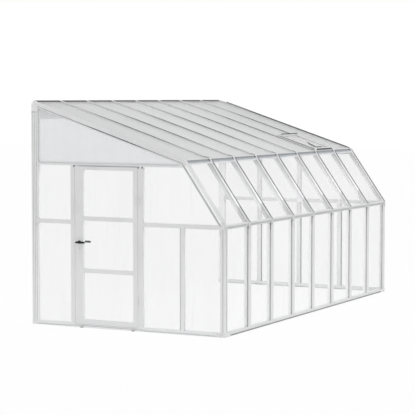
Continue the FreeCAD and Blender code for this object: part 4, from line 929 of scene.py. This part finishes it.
@dataclass(frozen=True)
class RailSeals:
    """Seals along the rails, in the wall posts' grooves and on the studs, with darker sheets of painted shade
    inside the far gable.
    """

    layout: Layout
    # The waist rail, the eave strips and the base rails.
    waist_strip: Point = (1.2270, 1.2505)
    waist_cap: Point = (1.2050, 1.2620)
    waist_cap_ends: Point = (0.001, 0.0545)
    lip_drop: Point = (0.0680, 0.0495)
    fold_drop: Point = (0.0490, 0.0302)
    foot: float = 0.152
    side_foot: float = 0.106
    inner_foot: float = 0.060
    front_groove: Point = (0.0060, 0.0160)
    side_groove: Point = (0.009, 0.015)
    sill_groove: Point = (0.019, 0.025)
    far_foot_shadow: Point = (0.001, 0.010)
    joint: float = 0.001
    lift: float = 0.0008
    # The head rail and the wall posts.
    head_strip: Point = (1.9310, 1.9365)
    head_run: Point = (-0.700, 1.190)
    doorway_strip: Point = (1.9090, 1.9140)
    door_lip: Point = (1.8998, 1.9046)
    door_lip_end: float = 0.630
    head_plug: Point = (0.0075, 0.010)
    head_plugs: tuple[Point, ...] = ((0.6945, 1.9000), (-0.1745, 1.8975), (-0.2240, 1.8980))
    cap_joint_shadow: Point = (2.5290, 2.5325)
    cap_joint_shadow_ends: Point = (0.0875, 0.001)
    post_stops: tuple[Point, ...] = ((1.895, 1.935), (1.268, 1.300), (1.180, 1.214))
    post_stop_half: float = 0.0022
    grooves_y: Triple = (1.215, 1.239, 1.263)
    groove_half: float = 0.0023
    groove_depth: Point = (0.0028, 0.0008)
    # The studs and the ridge.
    short_stud: Point = (-0.7225, -0.7175)
    far_studs: Triple = (-0.611, 0.012, 0.635)
    far_gasket_tops: Triple = (1.140, 1.010, 0.920)
    far_tall: tuple[bool, bool, bool] = (False, True, True)
    far_gasket_x: Point = (2.4720, 2.4840)
    far_gasket_y: float = 0.0255
    far_gasket_lift: float = 0.010
    stud_foot_shadow: Point = (0.055, 0.012)
    stud_foot_shadow_z: Point = (0.0010, 0.0080)
    stud_half: float = 0.026
    shade_sheet_half: float = 0.0245
    shade_sheet_gap: float = 0.003
    shade_sheet_ends: Point = (0.085, 0.089)
    shade_sheet_thickness: float = 0.0012
    ridge_bead: Point = (2.116, 2.1310)

    def build(self) -> None:
        """Make every seal of the rails, posts and studs."""
        self.waist()
        self.eave()
        self.base()
        self.head()
        self.grooves()
        self.studs()
        self.ridge()

    def waist(self) -> None:
        """A grey weather strip under the lower turn, between the bows, and a cap on each end of the rail."""
        strips, caps, lay = Bench(), Bench(), self.layout
        low, high = self.waist_strip
        for left, right in lay.gaps(lay.bar_half):
            strips.bar(lay.upright, (left, low, 0.0), (right, high, 0.0022), 0.0009)
        for end in (-1, 1):
            caps.bar(lay.outside(end), (lay.front + self.waist_cap_ends[0], self.waist_cap[0], 0.0),
                     (lay.front + self.waist_cap_ends[1], self.waist_cap[1], 0.0010), 0.0004)
        strips.piece("waist_strips", SEAL_MID, Body.FRAME)
        caps.piece("waist_end_caps", EDGE_WHITE, Body.FRAME)

    def eave(self) -> None:
        """Pale lips and grey folds that hang from the eave strips over the sloped panes' tops."""
        lips, folds, lay = Bench(), Bench(), self.layout
        for left, right in lay.gaps(lay.bar_half):
            for bench, (low, high), rise in ((lips, self.lip_drop, 0.0020), (folds, self.fold_drop, 0.0026)):
                bench.bar(lay.slope, (left, lay.slope_length - low, 0.0),
                          (right, lay.slope_length - high, rise), 0.0008)
        lips.piece("eave_lips", SEAL_PALE, Body.FRAME)
        folds.piece("eave_folds", SEAL_LIP, Body.FRAME)

    def base(self) -> None:
        """Dark strips in the base rails' grooves, painted shade there, and a painted contact shadow inside at
        the foot of the far rail.
        """
        front, sides, lay = Bench(), Bench(), self.layout
        front.bar(lay.upright, (self.foot - lay.half, self.front_groove[0], 0.0),
                  (lay.half - self.foot, self.front_groove[1], self.lift), 0.0003)
        near, far = lay.outside(-1), lay.outside(1)
        corner, post, (hinge, lock) = lay.front + self.side_foot, lay.wall - lay.wall_post, lay.jambs
        for face, left, right, (low, high) in (
                (near, corner, hinge - self.joint, self.side_groove),
                (near, hinge + self.joint, lock - self.joint, self.sill_groove),
                (near, lock + self.joint, post, self.side_groove),
                (far, corner, post, self.side_groove),
                # The last strip is a painted contact shadow at the far rail's foot.
                (lay.far_inside, lay.front + self.inner_foot, post, self.far_foot_shadow)):
            sides.bar(face, (left, low, 0.0), (right, high, self.lift), 0.0003)
        front.piece("base_groove_shade", SEAL_GREY, Body.FRAME)
        sides.piece("gable_base_shade", SEAL_LIP, Body.FRAME)

    def head(self) -> None:
        """The dark lines along the head rail and the plugs at the door's upper corners."""
        plugs, strips, door, lay = Bench(), Bench(), Bench(), self.layout
        face = lay.outside(-1)
        for (left, right), (low, high) in (
                (self.head_run, self.head_strip), (lay.doorway, self.doorway_strip)):
            strips.bar(face, (left, low, 0.0), (right, high, 0.0010), 0.0003)
        door.bar(face, (lay.door_leaf[0], self.door_lip[0], 0.0),
                 (self.door_lip_end, self.door_lip[1], 0.0012), 0.0004)
        wide, tall = self.head_plug
        for middle, level in self.head_plugs:
            plugs.bar(face, (middle - wide, level - tall, 0.0), (middle + wide, level + tall, 0.0025), 0.002)
        plugs.piece("head_plugs", SEAL_DARK, Body.FRAME)
        strips.piece("head_strips", SEAL_LIP, Body.FRAME)
        door.piece("door_head_lip", SEAL_GREY, Body.DOOR)

    def grooves(self) -> None:
        """Grey fillers in the wall posts' grooves, dark stops by the rails, and a dark line under each cap:
        its joint, with painted shadow under the cap's edge.
        """
        stops, fill, lay = Bench(), Bench(), self.layout
        (deep, shallow), (foot, top) = self.groove_depth, self.cap_joint_shadow
        start, end_gap = self.cap_joint_shadow_ends
        left, right = self.grooves_y[0] - self.post_stop_half, self.grooves_y[0] + self.post_stop_half
        for end in (-1, 1):
            side = lay.outside(end)
            for low, high in self.post_stops:
                stops.bar(side, (left, low, -deep), (right, high, 0.0004), 0.0004)
            # The joint under the cap, darkened further as painted shadow of the cap's edge.
            stops.bar(side, (lay.wall - start, foot, 0.0), (lay.wall - end_gap, top, self.lift), 0.0003)
            for middle in self.grooves_y:
                fill.bar(side, (middle - self.groove_half, lay.base_top, -deep),
                         (middle + self.groove_half, foot, -shallow), 0.0004)
        stops.piece("post_stops", SEAL_DARK, Body.FRAME)
        fill.piece("groove_fillers", SEAL_SOFT, Body.FRAME)

    def studs(self) -> None:
        """A gasket on the door end's short stud, gaskets on the far end's bars inside, darker sheets there as
        painted shade, and painted shadows at the far studs' feet.
        """
        near, far, shade_sheets, lay = Bench(), Bench(), Bench(), self.layout
        inner, low, (waist, above) = lay.far_inside, lay.base_top, lay.waist_rail
        near.bar(lay.outside(-1), (self.short_stud[0], low, 0.0), (self.short_stud[1], waist, 0.0010), 0.0003)
        (breadth, out), (shadow_low, shadow_high) = self.stud_foot_shadow, self.stud_foot_shadow_z
        for middle, top, tall in zip(self.far_studs, self.far_gasket_tops, self.far_tall):
            face = middle - self.far_gasket_y
            far.bar(Matrix(), (self.far_gasket_x[0], face - self.far_gasket_lift, low),
                    (self.far_gasket_x[1], face, top), 0.0020)
            # Thin darker sheets on the far bars' inner faces: painted shade.
            left, right = middle - self.shade_sheet_half, middle + self.shade_sheet_half
            shade_sheets.bar(inner, (left, low, 0.0), (right, waist, self.shade_sheet_thickness), 0.0004)
            if tall:
                shade_sheets.bar(inner, (left, above, 0.0), (right, lay.head_rail, self.shade_sheet_thickness), 0.0004)
            # Painted contact shadow at each far stud's foot.
            far.bar(inner, (middle - breadth, shadow_low, 0.0), (middle + breadth, shadow_high, out), 0.0015)
        middles = self.far_studs[::-1]
        lefts = [*(middle + self.stud_half for middle in middles), lay.front + self.shade_sheet_ends[0]]
        rights = [lay.wall - self.shade_sheet_ends[1], *(middle - self.stud_half for middle in middles)]
        for left, right in zip(lefts, rights):
            shade_sheets.bar(inner, (left, waist + self.shade_sheet_gap, 0.0),
                       (right, above - self.shade_sheet_gap, self.shade_sheet_thickness), 0.0004)
        shade_sheets.piece("far_painted_shade_sheets", FAR_SHADE_WHITE, Body.FRAME)
        near.piece("stud_gaskets", SEAL_SOFT, Body.FRAME)
        far.piece("far_stud_gaskets_and_foot_shadows", SEAL_SOFT, Body.FRAME)

    def ridge(self) -> None:
        """White beads along the foot of the ridge strips, on the roof sheets."""
        bench, lay = Bench(), self.layout
        low, high = self.ridge_bead
        for left, right in lay.gaps(lay.end_half):
            bench.bar(lay.roof, (left, low, -lay.pane_depth), (right, high, -0.0085), 0.0015)
        bench.piece("ridge_beads", WHITE, Body.FRAME)


@dataclass(frozen=True)
class DoorTrim:
    """Levers, key escutcheons, hinge finials, brush and threshold plate."""

    layout: Layout
    # The levers and the key.
    axis_y: float = 0.624
    axis_z: float = 1.007
    key_z: float = 0.927
    faces: Point = (-2.5, -2.458)
    bend: float = 0.0145
    reach: float = 0.0520
    neck: float = 0.0085
    curl: float = 0.05986
    facets: int = 16
    # The hinges, the brush and the threshold.
    hinge_x: float = -2.508
    hinge_y: float = -0.1645
    hinge_half: float = 0.042
    pin_gap: float = 0.0016
    brush_z: Point = (0.0385, 0.0520)
    plate_x: Point = (-2.498, -2.446)
    plate_z: float = 0.034
    rib_start: float = -2.494
    rib_pitch: float = 0.0054
    rib_width: float = 0.0022
    ribs: int = 9

    def build(self) -> None:
        """Make the door's furniture."""
        self.levers()
        self.escutcheons()
        self.finials()
        self.brush()
        self.plate()

    def levers(self) -> None:
        """Curved levers, swept from the neck round a bend into a tapered grip."""
        for name, out, face in (("lever_outside", -1.0, self.faces[0]), ("lever_inside", 1.0, self.faces[1])):
            bench = Bench()
            bench.swept(self.lever_loops(out, face))
            bench.swept(self.tail_loops(out, face))
            lever = bench.piece(f"{name}_grip", BLACK, Body.LEVER)
            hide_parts(name)

    def lever_loops(self, out: float, face: float) -> list[list[Vector]]:
        """The loops of one lever's skin.

        Args:
            out: The way out from the door along X, -1 or 1.
            face: The X of the door's face on that side.

        Returns:
            Loops from the rose to the grip's tip.
        """
        way, across = Vector((out, 0.0, 0.0)), Vector((0.0, -1.0, 0.0))
        root = Vector((face, self.axis_y, self.axis_z))
        straight = self.reach - self.bend
        # Distance from the door and radius of the neck.
        neck = ((0.0084, 0.0105), (0.011, 0.0100), (0.020, 0.0088), (straight, self.neck))
        stops = [(root + way * along, way, radius, radius) for along, radius in neck]
        centre = root + way * straight + across * self.bend
        steps = 5
        for step in range(1, steps + 1):
            share = step / steps
            sine, cosine = math.sin(math.pi / 2 * share), math.cos(math.pi / 2 * share)
            spot = centre + way * (self.bend * sine) - across * (self.bend * cosine)
            heading = way * cosine + across * sine
            stops.append((spot, heading, self.neck - 0.002 * share, self.neck + 0.0035 * share))
        start = root + way * self.reach + across * self.bend
        # Distance along the grip, half of its thickness and half of its height.
        grip = ((0.018, 0.0065, 0.0120), (0.044, 0.0064, 0.0120), (0.070, 0.0060, 0.0115),
                (0.083, 0.0052, 0.0102), (0.0875, 0.0038, 0.0080), (0.0893, 0.0016, 0.0040))
        for along, thick, tall in grip:
            spot = start + across * along - way * (self.curl * along ** 1.1)
            stops.append((spot, across, thick, tall))
        return self.skin(stops)

    def tail_loops(self, out: float, face: float) -> list[list[Vector]]:
        """The loops of the rounded tail behind a lever's neck.

        Args:
            out: The way out from the door along X, -1 or 1.
            face: The X of the door's face on that side.

        Returns:
            Loops from the tail's tip to the grip.
        """
        middle = Vector((face + out * self.reach, self.axis_y, self.axis_z))
        heading = Vector((0.0, -1.0, 0.0))
        # Distance behind the neck, half of the thickness and half of the height.
        tail = ((0.0238, 0.0016, 0.0040), (0.0225, 0.0042, 0.0086), (0.0180, 0.0058, 0.0110),
                (0.0080, 0.0063, 0.0118), (-0.0160, 0.0063, 0.0118))
        return self.skin([(middle - heading * along, heading, thick, tall) for along, thick, tall in tail])

    def skin(self, stops: Sequence[tuple[Vector, Vector, float, float]]) -> list[list[Vector]]:
        """Lay oval loops round a row of stops.

        Args:
            stops: A spot, a heading, half a thickness and half a height each.

        Returns:
            One loop of points for each stop.
        """
        up = Vector((0.0, 0.0, 1.0))
        angles = [math.tau * step / self.facets for step in range(self.facets)]
        return [
            [spot + up.cross(heading) * (thick * math.cos(angle)) + up * (tall * math.sin(angle))
             for angle in angles]
            for spot, heading, thick, tall in stops]

    def escutcheons(self) -> None:
        """A turned ring round the key cylinder on each face."""
        bench = Bench()
        for face, end in zip(self.faces, (-1, 1)):
            place = self.layout.gable(face, end) @ Matrix.Translation((self.axis_y, self.key_z, 0.0))
            bench.turned(place, (
                (0.0094, 0.0), (0.0165, 0.0), (0.0165, 0.0016), (0.0150, 0.0030), (0.0112, 0.0034),
                (0.0094, 0.0026), (0.0094, 0.0)), steps=28)
        bench.piece("key_escutcheons", DOOR_WHITE, Body.DOOR)

    def finials(self) -> None:
        """White caps on the ends of the hinge pins."""
        bench, reach = Bench(), self.hinge_half + self.pin_gap
        for middle in self.layout.hinge_levels:
            for up in (-1.0, 1.0):
                place = Matrix.Translation((self.hinge_x, self.hinge_y, middle + up * reach))
                bench.turned(place @ Matrix.Diagonal((1.0, 1.0, up, 1.0)), (
                    (0.0, 0.0), (0.0072, 0.0), (0.0078, 0.0020), (0.0070, 0.0062), (0.0042, 0.0090),
                    (0.0, 0.0100)), steps=16)
        bench.piece("hinge_finials", DOOR_WHITE, Body.FRAME)

    def brush(self) -> None:
        """A brush strip along the foot of the door, inside."""
        bench, (left, right), (low, high) = Bench(), self.layout.door_leaf, self.brush_z
        bench.bar(self.layout.gable(self.faces[1], 1), (left, low, 0.0), (right, high, 0.0022), 0.0008)
        bench.piece("door_brush", SEAL_GREY, Body.DOOR)

    def plate(self) -> None:
        """A ribbed plate on the threshold."""
        bench, (left, right) = Bench(), self.layout.doorway
        ground = Matrix.Translation((0.0, 0.0, self.plate_z))
        bench.bar(ground, (self.plate_x[0], left, 0.0), (self.plate_x[1], right, 0.0009), 0.0003)
        for index in range(self.ribs):
            x = self.rib_start + index * self.rib_pitch
            bench.bar(ground, (x, left + 0.003, 0.0007), (x + self.rib_width, right - 0.003, 0.0019), 0.0004)
        bench.piece("threshold_plate", STEEL, Body.FRAME)


@dataclass(frozen=True)
class VentTrim:
    """Seals on the vent sash, at its foot, its near side and its head, and the stay's grips."""

    layout: Layout
    # The sash on the roof, and its seals.
    left: float = 1.2635
    right: float = 1.82525
    low: float = 0.017
    high: float = 0.587
    top: float = 0.0243
    foot_start: float = 0.055
    foot_depth: float = 0.0022
    foot_rise: float = 0.0035
    edge: float = 0.001
    side_lift: float = 0.0012
    side_ends: Point = (0.010, 0.030)
    side_rise: Point = (0.0130, 0.0200)
    upstand_y: Point = (0.024, 0.020)
    upstand_rise: float = 0.0130
    upstand_ends: Point = (0.002, 0.006)
    flap_ends: Point = (0.020, 0.004)
    flap_rise: Point = (0.0125, 0.0235)
    # The stay.
    stay_out: float = -0.0035
    arm: tuple[Point, Point] = ((1.5600, 0.150), (1.6510, 0.298))
    rod_y: Point = (0.1270, 0.1350)
    rod_z: Point = (-0.0160, 0.0075)
    rod_grips: tuple[Point, ...] = ((1.550, 1.578), (1.594, 1.668), (1.684, 1.728))
    facets: int = 12

    def build(self) -> None:
        """Make the sash's seals and the stay's grips."""
        self.seals()
        self.head()
        self.grip()

    def seals(self) -> None:
        """Dark seals along the sash's lower edge and its near side."""
        foot, side, roof = Bench(), Bench(), self.layout.roof
        foot.bar(roof, (self.left + self.foot_start, self.low - self.foot_depth, self.foot_rise),
                 (self.right - self.edge, self.low, self.top - self.edge), 0.0008)
        side.bar(roof, (self.left - self.side_lift, self.low + self.side_ends[0], self.side_rise[0]),
                 (self.left, self.high - self.side_ends[1], self.side_rise[1]), 0.0004)
        foot.piece("vent_foot_seal", SEAL_DARK, Body.VENT)
        side.piece("vent_side_seal", SEAL_GREY, Body.VENT)

    def head(self) -> None:
        """A white upstand along the hinge side, with a dark flap on it."""
        stand, flap, roof = Bench(), Bench(), self.layout.roof
        near, far = self.high - self.upstand_y[0], self.high - self.upstand_y[1]
        stand.bar(roof, (self.left + self.upstand_ends[0], near, self.top),
                  (self.right - self.upstand_ends[1], far, self.top + self.upstand_rise), 0.001)
        flap.bar(roof, (self.left + self.flap_ends[0], near - self.edge, self.top + self.flap_rise[0]),
                 (self.right - self.flap_ends[1], far + self.edge, self.top + self.flap_rise[1]), 0.001)
        stand.piece("vent_upstand", WHITE, Body.VENT)
        flap.piece("vent_head_flap", SEAL_DARK, Body.VENT)

    def grip(self) -> None:
        """Black grips moulded on the stay: a deep one along its arm, and three on its rod."""
        bench = Bench()
        start, end = (Vector((*spot, self.stay_out)) for spot in self.arm)
        # Share of the way along the arm, half of the width and half of the height.
        stops = ((0.0, 0.004, 0.004), (0.04, 0.008, 0.009), (0.5, 0.009, 0.0100), (0.95, 0.010, 0.0105),
                 (1.0, 0.005, 0.006))
        bench.swept([self.oval(start.lerp(end, share), wide, tall) for share, wide, tall in stops])
        (near, far), (under, over) = self.rod_y, self.rod_z
        for left, right in self.rod_grips:
            bench.bar(self.layout.roof, (left, near, under), (right, far, over), 0.002)
        bench.piece("stay_grips", BLACK, Body.STAY)

    def oval(self, spot: Vector, wide: float, tall: float) -> list[Vector]:
        """A loop round the stay's arm, across the roof's fall: half as wide and half as tall as given."""
        angles = [math.tau * step / self.facets for step in range(self.facets)]
        return [
            self.layout.roof @ (spot + Vector((wide * math.cos(angle), 0.0, tall * math.sin(angle))))
            for angle in angles]


@dataclass(frozen=True)
class Fasteners:
    """Pan-head screws on knees and hinges."""

    layout: Layout
    knee_radius: float = 0.0040
    knee_side: float = 0.013
    knee_seat: float = 0.046
    top_seat: float = 0.048
    hinge_radius: float = 0.0036
    hinge_face: float = -2.503
    hinge_step: float = 0.028
    frame_leaf: float = -0.190
    door_leaf: float = -0.139

    def build(self) -> None:
        """Drive every screw."""
        self.knees()
        self.hinges()

    def knees(self) -> None:
        """Two screws in each sloped leg of every knee."""
        bench, lay = Bench(), self.layout
        seats = ((lay.slope, self.knee_seat), (lay.slope, lay.slope_length - self.top_seat),
                 (lay.roof, self.knee_seat))
        for index in range(lay.bays + 1):
            for place, along in seats:
                for side in (-self.knee_side, self.knee_side):
                    seat = Matrix.Translation((lay.bow(index) + side, along, lay.knee_rise))
                    bench.screw(place @ seat, self.knee_radius)
        bench.piece("knee_screws", STEEL, Body.FRAME)

    def hinges(self) -> None:
        """Three screws in each hinge leaf."""
        place = self.layout.gable(self.hinge_face, -1)
        for name, body, middle in (("hinge_screws_frame", Body.FRAME, self.frame_leaf),
                                   ("hinge_screws_door", Body.DOOR, self.door_leaf)):
            bench = Bench()
            for level in self.layout.hinge_levels:
                for step in (-self.hinge_step, 0.0, self.hinge_step):
                    bench.screw(place @ Matrix.Translation((middle, level + step, 0.0)), self.hinge_radius)
            bench.piece(name, NICKEL, body)


@dataclass(frozen=True)
class Studio:
    """Camera, pale floor, soft lamps and a white surround."""

    # The camera.
    eye: Triple = (-18.8154, -9.4381, 2.7001)
    yaw: float = 62.843
    pitch: float = -3.851
    focal_px: float = 1631.97
    image_px: float = 415.0
    sensor: float = 36.0
    far_clip: float = 200.0
    # The light.
    zenith: float = 0.52
    horizon: float = 1.05
    top: float = 0.5
    top_angle: float = 70.0
    top_way: Triple = (0.12, 0.35, -1.0)
    panel_length: float = 4.7
    inner: float = 28.0
    front_inner: float = 14.0
    # The floor.
    floor_half: float = 60.0
    floor_z: float = -0.002
    floor_white: float = 0.94

    def build(self) -> None:
        """Make the camera, lamps, floor and world."""
        self.camera()
        self.lamps()
        self.floor()
        self.world()
        bpy.context.scene.view_settings.view_transform = "Standard"

    def camera(self) -> None:
        """Stand the camera where the picture was taken."""
        data = bpy.data.cameras.new("camera")
        data.sensor_width = self.sensor
        data.lens = self.focal_px * self.sensor / self.image_px
        data.clip_end = self.far_clip
        camera = link("camera", data)
        yaw, pitch = math.radians(self.yaw), math.radians(self.pitch)
        camera.location = self.eye
        level = math.cos(pitch)
        aim(camera, Vector((math.sin(yaw) * level, math.cos(yaw) * level, math.sin(pitch))))
        bpy.context.scene.camera = camera

    def lamps(self) -> None:
        """Hang one broad soft lamp overhead, and two soft panels that light the room."""
        data = bpy.data.lights.new("top", "SUN")
        data.energy = self.top
        data.angle = math.radians(self.top_angle)
        aim(link("top", data), Vector(self.top_way))
        self.panel("inner", self.inner, breadth=1.8, spot=(0.0, 0.22, 1.88), way=Vector((0.0, 0.0, -1.0)))
        self.panel("front_inner", self.front_inner, breadth=1.7, spot=(0.0, -1.15, 0.95),
                   way=Vector((0.0, 1.0, 0.0)))

    def panel(self, name: str, energy: float, breadth: float, spot: Triple, way: Vector) -> None:
        """Hang a long soft panel in the room, unseen itself.

        Args:
            name: The lamp's name.
            energy: Its power, in watts.
            breadth: Its short side; the long side runs along X.
            spot: Where its middle hangs.
            way: The way that it shines.
        """
        data = bpy.data.lights.new(name, "AREA")
        data.shape = "RECTANGLE"
        data.size, data.size_y = self.panel_length, breadth
        data.energy = energy
        lamp = link(name, data)
        lamp.location = spot
        aim(lamp, way, "Y" if way.z else "Z")
        lamp.visible_camera = False
        lamp.visible_glossy = False

    def floor(self) -> None:
        """Lay a plain pale floor that looks white and keeps a faint shadow."""
        mesh = bmesh.new()
        bmesh.ops.create_grid(mesh, x_segments=1, y_segments=1, size=self.floor_half)
        bmesh.ops.translate(mesh, verts=mesh.verts, vec=(0.0, 0.0, self.floor_z))
        data = bpy.data.meshes.new("floor")
        mesh.to_mesh(data)
        mesh.free()
        material = bpy.data.materials.new("floor_pale")
        palette = Palette(material)
        palette.set(Base_Color=(0.96, 0.96, 0.96, 1.0), Roughness=0.9, Specular_IOR_Level=0.0)
        palette.glow("ShaderNodeEmission", palette.seen() * self.floor_white, Strength=1.0)
        data.materials.append(material)
        link("floor", data)

    def world(self) -> None:
        """A white surround for the eye, and soft light from all round that is strongest near the floor."""
        world = bpy.data.worlds.new("surround")
        bpy.context.scene.world = world
        nodes = NodeTree(world)
        way = nodes.node("ShaderNodeTexCoord", {}, {}, "Generated")
        height = nodes.node("ShaderNodeSeparateXYZ", {}, {0: way}, "Z")
        low = 1.0 - height.distance(0.0)
        light, white = (
            nodes.node("ShaderNodeBackground", {}, {"Color": WHITE_LIGHT, "Strength": strength})
            for strength in (low * low * self.horizon + self.zenith, 1.0))
        output = nodes.tree.nodes.new("ShaderNodeOutputWorld")
        nodes.feed(output.inputs["Surface"], nodes.mix(nodes.seen(), light, white))


def dress_nodes(nodes: dict[str, bpy.types.Object]) -> None:
    """Give every solid of the frame its finish.

    Args:
        nodes: The frame's objects by node name.
    """
    for finish, names in NODE_FINISHES.items():
        for name in names:
            data = nodes[name].data
            data.materials.clear()
            data.materials.append(finish.material())
            LOG.info("%s wears %s", name, finish.name)


def main() -> None:
    """Load the frame, dress it, and set the studio round it."""
    logging.basicConfig(level=logging.INFO)
    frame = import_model()
    dress_nodes(frame["nodes"])
    layout = Layout()
    for assembly in (BowSeals, RailSeals, DoorTrim, VentTrim, Fasteners):
        assembly(layout).build()
    Studio().build()


if __name__ == "__main__":
    main()
